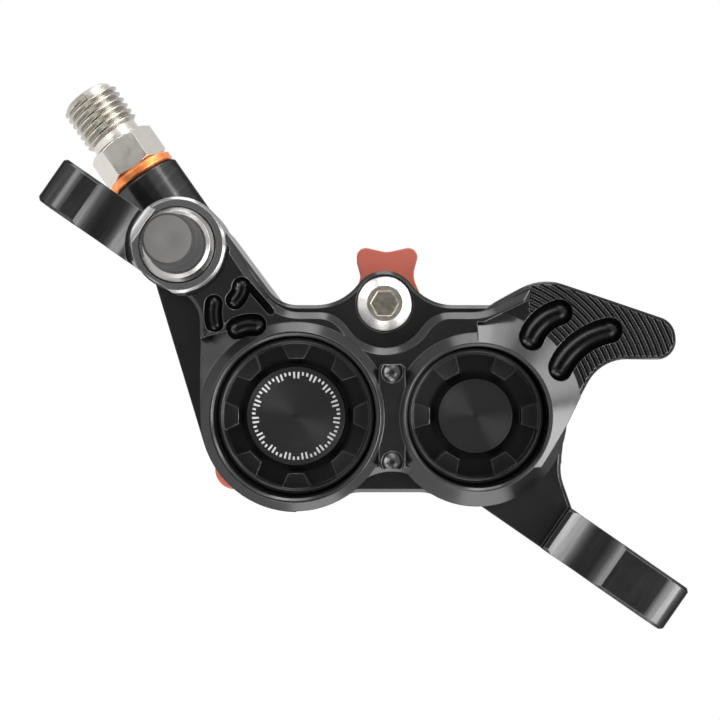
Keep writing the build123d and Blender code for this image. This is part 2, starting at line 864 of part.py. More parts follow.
def fluid_ways():
    """Drilled ways: the bleed gallery across both halves, the inlet, and a feed and a link for each side."""
    seat_y = bleed_boss_front_y + bleed_recess_depth
    thread_end_y = seat_y + bleed_thread_length
    cone_end_y = thread_end_y + bleed_seat_length
    thread_radius = bleed_thread_radius + bleed_thread_fit
    profile = [
        (0, bleed_boss_front_y - overrun),
        (bleed_recess_radius, bleed_boss_front_y - overrun),
        (bleed_recess_radius, seat_y),
        (thread_radius, seat_y),
        (thread_radius, thread_end_y),
        (gallery_radius, cone_end_y),
        (gallery_radius, gallery_back_y),
        (0, gallery_back_y),
    ]
    cut = turned(profile, bleed_x, bleed_z)
    seat = port_plane(washer_back)
    cut += extrude(seat * Circle(port_thread_radius + port_fit), amount=-port_thread_depth)
    cut += extrude(seat * Circle(gallery_radius), amount=-port_thread_depth * 2)
    run = Vector(large_bore_x - bleed_x, bore_line_z - bleed_z)
    enter = 1 - large_piston_radius / run.length
    bore_x = bleed_x + run.X * enter
    bore_z = bleed_z + run.Y * enter
    for side in (-1, 1):
        end = (bore_x, side * (piston_back_y - feed_radius / 2), bore_z)
        cut += between((bleed_x, side * feed_start_y, bleed_z), end, feed_radius)
        link_y = side * (piston_back_y - link_radius / 2)
        start = (large_bore_x + large_piston_radius, link_y, bore_line_z)
        stop = (small_bore_x - small_piston_radius, link_y, bore_line_z)
        cut += between(start, stop, link_radius)
    return cut + plug_bar(plug_radius, bleed_boss_back_radius)


def plug_bar(radius, length):
    """A bar along the inboard feed, from the gallery outward to the boss's skin."""
    run = Vector(bleed_x - large_bore_x, 0, bleed_z - bore_line_z)
    return along(Vector(bleed_x, feed_start_y, bleed_z), run, radius, length + overrun)


def caliper_body():
    """The one-piece body."""
    solid = housings() + terrace() + bridge() + fin() + right_arm() + left_arm()
    solid += pillar() + port_boss() + cove_fill()
    solid += ear(1, right_ear_root, right_ear_reach) + ear(-1, left_ear_root, left_ear_reach)
    solid -= coves()
    solid -= fin_slots()
    solid -= arm_pockets()
    solid -= boss_cut()
    solid -= ear_cut(1, right_scoop_inset, right_scoop_depth)
    solid -= ear_cut(-1, left_scoop_inset, left_scoop_depth)
    solid -= bore_cut(large_bore_x, large_piston_radius, large_mouth_radius)
    solid -= bore_cut(small_bore_x, small_piston_radius, small_mouth_radius)
    solid -= pad_space()
    solid -= pin_cut()
    solid -= fluid_ways()
    return solid


def bore_cap(x, mouth_radius, crown_radius, tooth_width, tooth_tip, tooth_count):
    """A screwed bore cap: a crown, a trough and a toothed rim for the tool, and a seal groove."""
    radius = mouth_radius - cap_fit
    rim_radius = mouth_radius - cap_rim
    trough_y = cap_front_y + cap_trough_depth
    crown_y = cap_front_y + cap_crown_drop
    back_y = -chamber_y
    seal_y = cap_seal_y()
    groove_radius = mouth_radius - 2 * cap_seal_section
    groove_half = cap_seal_groove * cap_seal_section
    dish_radius = mouth_radius * cap_dish_radius_share
    profile = [
        (0, crown_y),
        (crown_radius - cap_edge_chamfer, crown_y),
        (crown_radius, crown_y + cap_edge_chamfer),
        (crown_radius, trough_y),
        (rim_radius, trough_y),
        (rim_radius, cap_front_y + cap_edge_chamfer),
        (rim_radius + cap_edge_chamfer, cap_front_y),
        (radius - cap_edge_chamfer, cap_front_y),
        (radius, cap_front_y + cap_edge_chamfer),
        (radius, seal_y - groove_half),
        (groove_radius, seal_y - groove_half),
        (groove_radius, seal_y + groove_half),
        (radius, seal_y + groove_half),
        (radius, back_y),
        (dish_radius, back_y),
        (dish_radius - cap_dish_depth, back_y - cap_dish_depth),
        (0, back_y - cap_dish_depth),
    ]
    solid = turned(profile, x, bore_line_z)
    reach = (rim_radius - crown_radius) * cap_tooth_length_share
    tooth = Polygon(
        (rim_radius + cap_edge_chamfer, -tooth_width / 2),
        (rim_radius + cap_edge_chamfer, tooth_width / 2),
        (rim_radius - reach, tooth_tip / 2),
        (rim_radius - reach, -tooth_tip / 2),
        align=None,
    )
    teeth = Sketch() + PolarLocations(0, tooth_count) * tooth
    return solid + slab(Pos(x, bore_line_z) * teeth, cap_front_y + cap_edge_chamfer, trough_y)


def cap_seal_y():
    """The depth of the bore caps' seals."""
    return -chamber_y - 2 * cap_seal_section


def cap_seal(x, mouth_radius):
    """The round ring that seals a bore cap."""
    section = cap_seal_section - seal_fit
    ring = Torus(mouth_radius - cap_seal_section, section, major_angle=360)
    return Pos(x, cap_seal_y(), bore_line_z) * Rot(90, 0, 0) * ring


def piston(x, radius, side):
    """A cup-shaped piston: side is 1 for the inboard half and -1 for the outboard half."""
    cup = radius - piston_wall
    profile = [
        (cup, piston_front_y),
        (radius - piston_chamfer / 2, piston_front_y),
        (radius, piston_front_y + piston_chamfer / 2),
        (radius, piston_back_y - piston_chamfer),
        (radius - piston_chamfer, piston_back_y),
        (0, piston_back_y),
        (0, piston_back_y - piston_floor),
        (cup, piston_back_y - piston_floor),
    ]
    return turned([(r, side * y) for r, y in profile], x, bore_line_z)


def bore_seal(x, radius, low_y, width, depth, side):
    """A square-section ring in its groove round a piston."""
    outer = radius + piston_fit + depth - seal_fit
    inner = radius + seal_fit
    low = low_y + seal_fit
    high = low_y + width - seal_fit
    profile = [(inner, low), (outer, low), (outer, high), (inner, high)]
    return turned([(r, side * y) for r, y in profile], x, bore_line_z)


def hex_prism(flats, length):
    """A hexagon standing on z = 0 with a flat towards -x, its corners turned down at both ends."""
    solid = extrude(Rot(0, 0, 30) * RegularPolygon(flats / 2, 6, major_radius=False), amount=length)
    corner = flats / 2 / cos(radians(30))
    drop = (corner - flats / 2) / 2
    profile = [(0, 0), (flats / 2, 0), (corner, drop), (corner, length - drop), (flats / 2, length)]
    return solid & bored(profile + [(0, length)])


def bored(profile):
    """A solid turned about Z from a list of (radius, z)."""
    return revolve(Plane.XZ * make_face(Polyline(*profile, close=True)), Axis.Z)


def hose_connector():
    """The straight hose connector with its hexagon and hose thread."""
    hex_start = washer_thickness / 2
    hex_end = hex_start + connector_hex_length
    tip = hex_end + connector_thread_length
    foot = washer_back - port_thread_depth + overrun
    shank = connector_thread_radius
    profile = [
        (0, foot),
        (port_thread_radius - connector_tip_chamfer, foot),
        (port_thread_radius, foot + connector_tip_chamfer),
        (port_thread_radius, hex_start),
        (connector_root_radius, hex_start),
        (connector_root_radius, hex_end + connector_root_length),
        (shank, hex_end + connector_root_length + connector_tip_chamfer),
        (shank, tip - connector_tip_chamfer),
        (shank - connector_tip_chamfer, tip),
        (0, tip),
    ]
    solid = bored(profile) + Pos(0, 0, hex_start) * hex_prism(connector_flats, connector_hex_length)
    solid -= bored(
        [
            (0, foot - overrun),
            (connector_bore_radius, foot - overrun),
            (connector_bore_radius, tip - connector_cone_depth),
            (connector_cone_radius, tip),
            (connector_cone_radius, tip + overrun),
            (0, tip + overrun),
        ]
    )
    return port_plane(0).location * solid


def connector_washer():
    """The soft washer under the connector."""
    hole = Circle(port_thread_radius + washer_fit)
    ring = extrude(Circle(washer_radius) - hole, amount=washer_thickness)
    rims = ring.edges().filter_by(GeomType.CIRCLE).filter_by(
        lambda edge: edge.radius > port_thread_radius + washer_fit
    )
    ring = chamfer(rims, washer_edge)
    return port_plane(washer_back).location * ring


def bleed_nipple():
    """The bleed screw: threaded shank with a seat cone, polished collar, small hexagon and barb."""
    seat_y = bleed_boss_front_y + bleed_recess_depth
    thread_end_y = seat_y + bleed_thread_length - bleed_thread_fit
    cone_end_y = thread_end_y + bleed_seat_length
    collar_back_y = bleed_boss_front_y + bleed_collar_gap
    collar_y = bleed_boss_front_y - bleed_collar_rise + bleed_collar_crown
    front_y = collar_top_y()
    barb_start_y = front_y - bleed_hex_height
    barb_end_y = barb_start_y - bleed_barb_height
    profile = [
        (0, cone_end_y),
        (gallery_radius - bleed_thread_fit, cone_end_y),
        (bleed_thread_radius, thread_end_y),
        (bleed_thread_radius, collar_back_y),
        (bleed_collar_radius, collar_back_y),
        (bleed_collar_radius, collar_y),
        (bleed_collar_radius - bleed_collar_crown / 2, front_y + bleed_collar_crown / 5),
        (bleed_collar_radius - bleed_collar_crown, front_y),
        (bleed_barb_radius - bleed_cap_edge, front_y),
        (bleed_barb_radius - bleed_cap_edge, barb_end_y + 2 * bleed_cap_edge),
        (bleed_barb_radius, barb_end_y + 2 * bleed_cap_edge),
        (bleed_barb_radius, barb_end_y + bleed_cap_edge),
        (bleed_barb_radius - bleed_cap_edge, barb_end_y),
        (0, barb_end_y),
    ]
    solid = turned(profile, bleed_x, bleed_z)
    hexagon = Pos(bleed_x, bleed_z) * RegularPolygon(bleed_hex_flats / 2, 6, major_radius=False)
    solid += slab(hexagon, barb_start_y, front_y + bleed_cap_edge)
    solid -= rod(bleed_x, bleed_z, bleed_bore_radius, barb_end_y - overrun, thread_end_y - overrun)
    cross = along(
        Vector(bleed_x - gallery_radius * 2, thread_end_y - 2 * overrun, bleed_z),
        Vector(1, 0, 0),
        bleed_bore_radius,
        gallery_radius * 4,
    )
    return solid - cross


def collar_top_y():
    """The front of the bleed screw's collar, where its cap stands."""
    return bleed_boss_front_y - bleed_collar_rise


def bleed_cap():
    """The rubber cap over the bleed screw."""
    foot_y = collar_top_y()
    hex_room = bleed_hex_flats / 2 / cos(radians(30)) + bleed_cap_fit
    barb_room = bleed_barb_radius + bleed_cap_fit
    hex_y = foot_y - bleed_hex_height - bleed_cap_fit
    barb_y = foot_y - bleed_hex_height - bleed_barb_height - bleed_cap_fit
    front_y = foot_y - bleed_cap_height
    shoulder_y = foot_y - bleed_cap_shoulder
    profile = [
        (hex_room, foot_y),
        (bleed_cap_radius, foot_y),
        (bleed_cap_radius, foot_y - bleed_cap_edge),
        (bleed_cap_nose_radius, shoulder_y),
        (bleed_cap_nose_radius, front_y + bleed_cap_edge),
        (bleed_cap_nose_radius - bleed_cap_edge, front_y),
        (0, front_y),
        (0, barb_y),
        (barb_room, barb_y),
        (barb_room, hex_y),
        (hex_room, hex_y),
    ]
    return turned(profile, bleed_x, bleed_z)


def pad_pin():
    """The pad pin: cone head with a hexagon socket, thread, shank and the clip's groove."""
    seat_y = deck_front_y + pin_head_recess
    front_y = seat_y - pin_head_height
    end_y = pin_end_y()
    groove_y = clip_seat_y() - clip_fit
    groove_radius = pin_radius - clip_groove_depth
    profile = [
        (0, front_y),
        (pin_face_radius, front_y),
        (pin_head_radius, seat_y - pin_head_flat),
        (pin_head_radius, seat_y),
        (pin_thread_radius, seat_y),
        (pin_thread_radius, seat_y + pin_thread_length - pin_end_chamfer),
        (pin_radius, seat_y + pin_thread_length),
        (pin_radius, groove_y),
        (groove_radius, groove_y),
        (groove_radius, groove_y + clip_thickness + 2 * clip_fit),
        (pin_radius, groove_y + clip_thickness + 2 * clip_fit),
        (pin_radius, end_y - pin_end_chamfer),
        (pin_radius - pin_end_chamfer, end_y),
        (0, end_y),
    ]
    solid = turned(profile, pin_x, pin_z)
    socket = RegularPolygon(pin_socket_flats / 2, 6, major_radius=False)
    return solid - slab(Pos(pin_x, pin_z) * socket, front_y - overrun, front_y + pin_socket_depth)


def clip_seat_y():
    """The clip's outboard face, just clear of the body's inboard lug."""
    return deck_back_y + clip_seat_gap


def pin_end_y():
    """The pin's inboard end."""
    return clip_seat_y() + clip_thickness + pin_end_margin


def pin_clip():
    """The horseshoe clip on the pin's inboard end, open towards the wheel's hub."""
    inner = pin_radius - clip_groove_depth + clip_fit
    ring = disc(pin_x, pin_z, inner + clip_band)
    mouth = Rectangle(2 * inner, inner + clip_band + overrun, align=(Align.CENTER, Align.MAX))
    ring -= disc(pin_x, pin_z, inner) + Pos(pin_x, pin_z) * mouth
    return slab(ring, clip_seat_y(), clip_seat_y() + clip_thickness)


def pad_plate(side):
    """A pad's backing plate with its pull tab."""
    neck_z = pin_z + pin_radius / 2
    half = [
        (tab_neck_half_width, 0, pad_top_z, pad_corner_radius / 2),
        (tab_neck_half_width, 0, neck_z, tab_lobe_radius * 2),
        (tab_throat_half_width, 0, tab_throat_z, tab_throat_radius),
        (tab_lobe_half_width, 0, tab_lobe_z, tab_lobe_radius),
    ]
    right = [(tab_x + w, z, r) for w, _, z, r in half]
    left = [(tab_x - w, z, r) for w, _, z, r in reversed(half)]
    corners = [(pad_left_x, pad_top_z, pad_corner_radius)]
    corners += [(pad_left_x, pad_bottom_z, pad_corner_radius)]
    corners += [(pad_right_x, pad_bottom_z, pad_corner_radius)]
    corners += [(pad_right_x, pad_shoulder_z, pad_corner_radius)]
    corners += [(pad_shoulder_x, pad_top_z, pad_corner_radius)]
    middle = [(tab_x, tab_lobe_z - tab_dip, tab_throat_radius)]
    points = corners + right + middle + left
    plate = outline([(x, z) for x, z, _ in points], [r for _, _, r in points])
    plate -= disc(pin_x, pin_z, tab_hole_radius)
    near = pad_gap + pad_lining_thickness
    far = near + pad_plate_thickness
    return slab(plate, near, far) if side > 0 else slab(plate, -far, -near)


def pad_lining(side):
    """A pad's friction lining with its upright groove."""
    left = pad_left_x + pad_lining_margin
    right = pad_right_x - pad_lining_margin
    low = pad_bottom_z + pad_lining_margin
    high = pad_top_z - pad_lining_margin / 2
    corner = pad_shoulder_z - pad_lining_margin / 2
    points = [(left, high), (left, low), (right, low), (right, corner), (pad_shoulder_x, high)]
    block = outline(points, pad_corner_radius / 2)
    far = pad_gap + pad_lining_thickness
    groove = Pos(tab_x, (low + high) / 2) * Rectangle(pad_groove_width, 2 * (high - low))
    if side > 0:
        return slab(block, pad_gap, far) - slab(groove, 0, pad_gap + pad_groove_depth)
    return slab(block, -far, -pad_gap) - slab(groove, -pad_gap - pad_groove_depth, 0)


def pad_spring():
    """The spring between the pads: a bent strip whose two legs the pin passes through."""
    arch = spring_arch_radius - spring_thickness / 2
    foot_y = pad_gap + pad_lining_thickness - spring_leg_gap - spring_thickness / 2
    crown_z = pin_z + spring_crown_rise
    crown = ThreePointArc((-arch, crown_z), (0, crown_z + arch), (arch, crown_z))
    legs = Line((-foot_y, spring_foot_z), (-arch, crown_z)) + Line((arch, crown_z), (foot_y, spring_foot_z))
    strip = trace(crown + legs, spring_thickness)
    start = Plane.YZ.offset(tab_x - spring_width / 2)
    strip = extrude(start * strip, amount=spring_width)
    return strip - rod(pin_x, pin_z, spring_hole_radius, -pocket_half_depth, pocket_half_depth)


def gallery_plug():
    """The plug of the inboard cross drilling."""
    run = Vector(bleed_x - large_bore_x, 0, bleed_z - bore_line_z)
    start = Vector(bleed_x, feed_start_y, bleed_z) + run.normalized() * (
        bleed_boss_back_radius - plug_length
    )
    return along(start, run, plug_radius - plug_fit, plug_length - bleed_boss_chamfer)


def bore_parts():
    """The pistons and seals of the four bores, by name."""
    parts = {}
    for size, x, radius in (
        ("large", large_bore_x, large_piston_radius),
        ("small", small_bore_x, small_piston_radius),
    ):
        for half, side in (("outboard", -1), ("inboard", 1)):
            parts[f"piston_{half}_{size}"] = piston(x, radius, side)
            parts[f"fluid_seal_{half}_{size}"] = bore_seal(
                x, radius, fluid_groove_y, fluid_seal_width, fluid_seal_depth, side
            )
            parts[f"dust_seal_{half}_{size}"] = bore_seal(
                x, radius, dust_groove_y, dust_seal_width, dust_seal_depth, side
            )
    return parts


def build_all():
    """Every sub-part by name, in the brake frame."""
    parts = {
        "caliper_body": caliper_body(),
        "bore_cap_large": bore_cap(
            large_bore_x,
            large_mouth_radius,
            large_crown_radius,
            large_tooth_width,
            large_tooth_tip,
            large_tooth_count,
        ),
        "bore_cap_small": bore_cap(
            small_bore_x,
            small_mouth_radius,
            small_crown_radius,
            small_tooth_width,
            small_tooth_tip,
            small_tooth_count,
        ),
        "cap_seal_large": cap_seal(large_bore_x, large_mouth_radius),
        "cap_seal_small": cap_seal(small_bore_x, small_mouth_radius),
        "hose_connector": hose_connector(),
        "connector_washer": connector_washer(),
        "bleed_nipple": bleed_nipple(),
        "bleed_cap": bleed_cap(),
        "pad_pin": pad_pin(),
        "pin_clip": pin_clip(),
        "pad_plate_outboard": pad_plate(-1),
        "pad_plate_inboard": pad_plate(1),
        "pad_lining_outboard": pad_lining(-1),
        "pad_lining_inboard": pad_lining(1),
        "pad_spring": pad_spring(),
        "gallery_plug": gallery_plug(),
    }
    parts.update(bore_parts())
    return parts


os.makedirs("parts", exist_ok=True)
for name, solid in build_all().items():
    export_step(to_mount(solid), f"parts/{name}.step")
    print(name, len(solid.solids()), round(solid.volume, 1))
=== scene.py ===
"""A four-piston bicycle disc brake caliper, dressed for its studio picture."""

import logging
import math
from dataclasses import dataclass, field
from enum import Enum
from typing import Callable, Iterable, Optional, Sequence, Union

import bmesh
import bpy
from mathutils import Matrix, Vector


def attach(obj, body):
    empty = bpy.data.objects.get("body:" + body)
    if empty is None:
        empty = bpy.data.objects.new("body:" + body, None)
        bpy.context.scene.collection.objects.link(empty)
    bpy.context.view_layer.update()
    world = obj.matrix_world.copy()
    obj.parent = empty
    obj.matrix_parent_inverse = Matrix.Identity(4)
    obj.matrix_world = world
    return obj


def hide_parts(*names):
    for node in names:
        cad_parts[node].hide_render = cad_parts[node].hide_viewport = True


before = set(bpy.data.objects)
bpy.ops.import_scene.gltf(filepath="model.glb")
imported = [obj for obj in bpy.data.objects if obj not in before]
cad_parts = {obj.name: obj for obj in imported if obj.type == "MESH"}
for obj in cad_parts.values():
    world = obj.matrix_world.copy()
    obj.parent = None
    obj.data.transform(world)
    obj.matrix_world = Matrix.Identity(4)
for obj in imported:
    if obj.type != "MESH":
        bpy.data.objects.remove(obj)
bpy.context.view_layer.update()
log = logging.getLogger("caliper")

MM = 0.001
WATTS_PER_LEVEL = 4.0
Number = Union[float, int, "Signal"]
Colour = tuple[float, float, float, float]
Pair = tuple[float, float]
Profile = Sequence[Pair]


# ---------------------------------------------------------------- places


@dataclass(frozen=True)
class BrakeFrame:
    """The frame of the bore line: u along the bores, w away from the hub, y inboard, in millimetres.

    Attributes:
        tilt: the turn of the bore line against the ears, in degrees.
    """

    tilt: float = 34.7

    def point(self, u: float, w: float, y: float = 0.0) -> Vector:
        """Gives a point of the brake frame in the CAD frame, in metres.

        Args:
            u: place along the bore line.
            w: place away from the hub.
            y: depth, inboard positive.

        Returns:
            The point in metres.
        """
        lean = math.radians(self.tilt)
        across = u * math.cos(lean) - w * math.sin(lean)
        height = u * math.sin(lean) + w * math.cos(lean)
        return Vector((across, y, height)) * MM

    def direction(self, angle: float) -> Vector:
        """Gives the unit vector at an angle of the brake frame, in the plane of the ears.

        Args:
            angle: angle from the bore line, in degrees.

        Returns:
            The unit vector.
        """
        lean = math.radians(self.tilt + angle)
        return Vector((math.cos(lean), 0.0, math.sin(lean)))

    def standing(self, origin: Vector, axis: Vector) -> Matrix:
        """Gives the matrix that stands a piece made along +Z on a point, with its -X side to the viewer.

        Args:
            origin: where the piece's origin goes.
            axis: the direction of the piece's own +Z.

        Returns:
            The 4x4 matrix.
        """
        side = Vector((0.0, 1.0, 0.0))
        third = axis.cross(side).normalized()
        matrix = Matrix((side, third, axis)).transposed().to_4x4()
        matrix.translation = origin
        return matrix


BRAKE = BrakeFrame()


@dataclass(frozen=True)
class BorePlace:
    """The axis of one pair of bores, in the brake frame.

    Attributes:
        u: place along the bore line, in millimetres.
        w: place away from the hub, in millimetres.
    """

    u: float
    w: float

    def centre(self) -> Vector:
        """Gives the axis' place in metres."""
        return BRAKE.point(self.u, self.w)


class Bore(Enum):
    """The two pairs of bores."""

    LARGE = BorePlace(-6.3, -0.33)
    SMALL = BorePlace(15.7, -0.33)


# ---------------------------------------------------------------- shader graphs


class Signal:
    """A value in a shader graph, on which Python's operators add Math nodes."""

    def __init__(self, graph: "Graph", socket: bpy.types.NodeSocket) -> None:
        """Keeps the graph and the output socket.

        Args:
            graph: the graph that the value belongs to.
            socket: the output socket that carries it.
        """
        self.graph = graph
        self.socket = socket

    def _math(self, operation: str, *values: Number) -> "Signal":
        """Adds one Math node.

        Args:
            operation: Blender's name of the operation.
            values: the node's values in order.

        Returns:
            The node's result.
        """
        inputs = {index: value for index, value in enumerate(values)}
        return self.graph.node("ShaderNodeMath", {"operation": operation}, inputs)

    def __add__(self, other: Number) -> "Signal":
        """Adds."""
        return self._math("ADD", self, other)

    __radd__ = __add__

    def __sub__(self, other: Number) -> "Signal":
        """Subtracts."""
        return self._math("SUBTRACT", self, other)

    def __rsub__(self, other: Number) -> "Signal":
        """Subtracts from a number."""
        return self._math("SUBTRACT", other, self)

    def __mul__(self, other: Number) -> "Signal":
        """Multiplies."""
        return self._math("MULTIPLY", self, other)

    __rmul__ = __mul__

    def __truediv__(self, other: Number) -> "Signal":
        """Divides."""
        return self._math("DIVIDE", self, other)

    def __abs__(self) -> "Signal":
        """Drops the sign."""
        return self._math("ABSOLUTE", self)

    def sine(self) -> "Signal":
        """Gives the sine."""
        return self._math("SINE", self)

    def root(self) -> "Signal":
        """Gives the square root."""
        return self._math("SQRT", self)

    def angle_to(self, other: "Signal") -> "Signal":
        """Gives the angle whose tangent is this over the other."""
        return self._math("ARCTAN2", self, other)

    def above(self, edge: Number) -> "Signal":
        """Gives 1 where the value is over the edge, else 0."""
        return self._math("GREATER_THAN", self, edge)

    def below(self, edge: Number) -> "Signal":
        """Gives 1 where the value is under the edge, else 0."""
        return self._math("LESS_THAN", self, edge)

    def clamped(self) -> "Signal":
        """Keeps the value between 0 and 1."""
        return self.graph.node("ShaderNodeClamp", {}, {0: self, 1: 0.0, 2: 1.0})

    def rise(self, low: float, high: float) -> "Signal":
        """Gives a soft step from 0 at low to 1 at high.

        Args:
            low: the value at which the step starts.
            high: the value at which the step ends.

        Returns:
            The step.
        """
        settings = {"interpolation_type": "SMOOTHSTEP"}
        return self.graph.node("ShaderNodeMapRange", settings, {0: self, 1: low, 2: high, 3: 0.0, 4: 1.0})


class Graph:
    """The node graph of one material."""

    def __init__(self, name: str) -> None:
        """Makes the material with an empty graph and a Principled shader.

        Args:
            name: the material's name.
        """
        self.material = bpy.data.materials.new(name)
        self.material.use_nodes = True
        self.tree = self.material.node_tree
        self.tree.nodes.clear()
        self.shader = self.tree.nodes.new("ShaderNodeBsdfPrincipled")
        output = self.tree.nodes.new("ShaderNodeOutputMaterial")
        self.tree.links.new(self.shader.outputs[0], output.inputs[0])

    def node(
        self,
        kind: str,
        settings: dict[str, object],
        inputs: dict[Union[int, str], object],
        result: Union[int, str] = 0,
    ) -> Signal:
        """Adds any node.

        Args:
            kind: the node's type.
            settings: the node's own settings, set first.
            inputs: values or links of its sockets, by index or name.
            result: the output to give back, by index or name.

        Returns:
            The chosen output.
        """
        node = self.tree.nodes.new(kind)
        for name, value in settings.items():
            setattr(node, name, value)
        for key, value in inputs.items():
            self.feed(node.inputs[key], value)
        return Signal(self, node.outputs[result])

    def feed(self, socket: bpy.types.NodeSocket, value: object) -> None:
        """Sets a socket to a value or links it.

        Args:
            socket: the input socket.
            value: a number, a tuple or a Signal.
        """
        if isinstance(value, Signal):
            self.tree.links.new(value.socket, socket)
        else:
            socket.default_value = value

    def set(self, **values: object) -> None:
        """Sets sockets of the Principled shader.

        Args:
            values: values or links, named as the sockets with _ for a space.
        """
        for name, value in values.items():
            self.feed(self.shader.inputs[name.replace("_", " ")], value)

    def place(self) -> Signal:
        """Gives the place on the object, in metres."""
        return self.node("ShaderNodeTexCoord", {}, {}, "Object")

    def stretched(self, scale: Sequence[float]) -> Signal:
        """Gives the place with each axis scaled.

        Args:
            scale: the three scales.

        Returns:
            The scaled place.
        """
        settings = {"vector_type": "POINT"}
        return self.node("ShaderNodeMapping", settings, {"Vector": self.place(), "Scale": tuple(scale)})

    def along(self, direction: Vector, centre: Vector) -> Signal:
        """Gives the distance from a centre along a direction, in metres.

        Args:
            direction: a unit vector.
            centre: where the distance is zero.

        Returns:
            The distance.
        """
        inputs = {0: self.place(), 1: tuple(centre)}
        offset = self.node("ShaderNodeVectorMath", {"operation": "SUBTRACT"}, inputs)
        settings = {"operation": "DOT_PRODUCT"}
        return self.node("ShaderNodeVectorMath", settings, {0: offset, 1: tuple(direction)}, "Value")

    def depth(self) -> Signal:
        """Gives the place along Y, inboard positive, in metres."""
        return self.along(Vector((0.0, 1.0, 0.0)), Vector((0.0, 0.0, 0.0)))

    def noise(self, size: float, detail: float = 3.0, place: Optional[Signal] = None) -> Signal:
        """Adds a noise.

        Args:
            size: the size of its grains, in metres.
            detail: how many finer layers it has.
            place: where it is read, the object's own place if left out.

        Returns:
            The noise from 0 to 1.
        """
        inputs = {"Vector": place or self.place(), "Scale": 1.0 / size, "Detail": detail, "Roughness": 0.55}
        return self.node("ShaderNodeTexNoise", {}, inputs, 0)

    def cells(self, size: float) -> Signal:
        """Adds round grains.

        Args:
            size: the size of one grain, in metres.

        Returns:
            The distance to the nearest grain's middle.
        """
        inputs = {"Vector": self.place(), "Scale": 1.0 / size}
        return self.node("ShaderNodeTexVoronoi", {"feature": "F1"}, inputs, 0)

    def mixed(self, share: Number, first: object, second: object) -> Signal:
        """Mixes two colours.

        Args:
            share: how much of the second.
            first: the first colour.
            second: the second colour.

        Returns:
            The mixed colour.
        """
        settings = {"data_type": "RGBA", "blend_type": "MIX"}
        return self.node("ShaderNodeMix", settings, {0: share, 6: first, 7: second}, 2)

    def soft_normal(self, radius: float) -> Signal:
        """Gives the normal with the edges rounded.

        Args:
            radius: the radius of the rounding, in metres.

        Returns:
            The rounded normal.
        """
        return self.node("ShaderNodeBevel", {"samples": 6}, {"Radius": radius}, 0)

    def edge_share(self, rounded: Signal) -> Signal:
        """Gives how much the rounded normal leaves the face's own normal.

        Args:
            rounded: the rounded normal.

        Returns:
            0 on a face and more at its edges.
        """
        true_normal = self.node("ShaderNodeNewGeometry", {}, {}, "True Normal")
        settings = {"operation": "DOT_PRODUCT"}
        agree = self.node("ShaderNodeVectorMath", settings, {0: rounded, 1: true_normal}, "Value")
        return (1.0 - abs(agree)).rise(0.02, 0.3)

    def bumped(self, height: Signal, depth: float, normal: Optional[Signal] = None) -> Signal:
        """Gives the normal over a relief.

        Args:
            height: the relief from 0 to 1.
            depth: its depth, in metres.
            normal: the normal under it, the face's own if left out.

        Returns:
            The new normal.
        """
        inputs: dict[Union[int, str], object] = {"Height": height, "Strength": 1.0, "Distance": depth}
        if normal is not None:
            inputs["Normal"] = normal
        return self.node("ShaderNodeBump", {}, inputs, 0)


def grey(value: float, warmth: float = 0.0) -> Colour:
    """Gives a grey, in linear light.

    Args:
        value: how light it is.
        warmth: how far it leans to yellow.

    Returns:
        The colour.
    """
    return (value * (1.0 + warmth), value, value * (1.0 - warmth), 1.0)


def scaled(colour: Colour, share: float) -> Colour:
    """Gives a colour made lighter or darker.

    Args:
        colour: the colour.
        share: what its channels are multiplied by.

    Returns:
        The new colour.
    """
    return tuple(channel * share for channel in colour[:3]) + (1.0,)


class Turning:
    """The fine rings that a lathe leaves round a bore's axis."""

    def __init__(self, graph: Graph, centre: Vector) -> None:
        """Measures the radius round the axis.

        Args:
            graph: the graph to build in.
            centre: a point of the axis.
        """
        self.graph = graph
        self.across = graph.along(Vector((1.0, 0.0, 0.0)), centre)
        self.height = graph.along(Vector((0.0, 0.0, 1.0)), centre)
        self.radius = (self.across * self.across + self.height * self.height).root()

    def normal(self, pitch: float, slope: float) -> Signal:
        """Gives the normal tilted in and out along the radius, ring by ring.

        Args:
            pitch: the distance between two rings, in metres.
            slope: the steepest tilt.

        Returns:
            The new normal.
        """
        graph = self.graph
        wave = (self.radius * (2.0 * math.pi / pitch)).sine() * slope
        share = wave / (self.radius + pitch)
        parts = {0: self.across * share, 1: 0.0, 2: self.height * share}
        tilt = graph.node("ShaderNodeCombineXYZ", {}, parts)
        face = graph.soft_normal(0.00014)
        total = graph.node("ShaderNodeVectorMath", {"operation": "ADD"}, {0: face, 1: tilt})
        return graph.node("ShaderNodeVectorMath", {"operation": "NORMALIZE"}, {0: total})


# ---------------------------------------------------------------- finishes


@dataclass(frozen=True)
class Pocket:
    """A round region of the body's outboard face that holds milled pockets.

    Attributes:
        u: the region's place along the bore line, in millimetres.
        w: the region's place away from the hub, in millimetres.
        reach: the region's radius, in metres.
        lip: the depth at which the pockets start, in metres.
    """

    u: float
    w: float
    reach: float
    lip: float


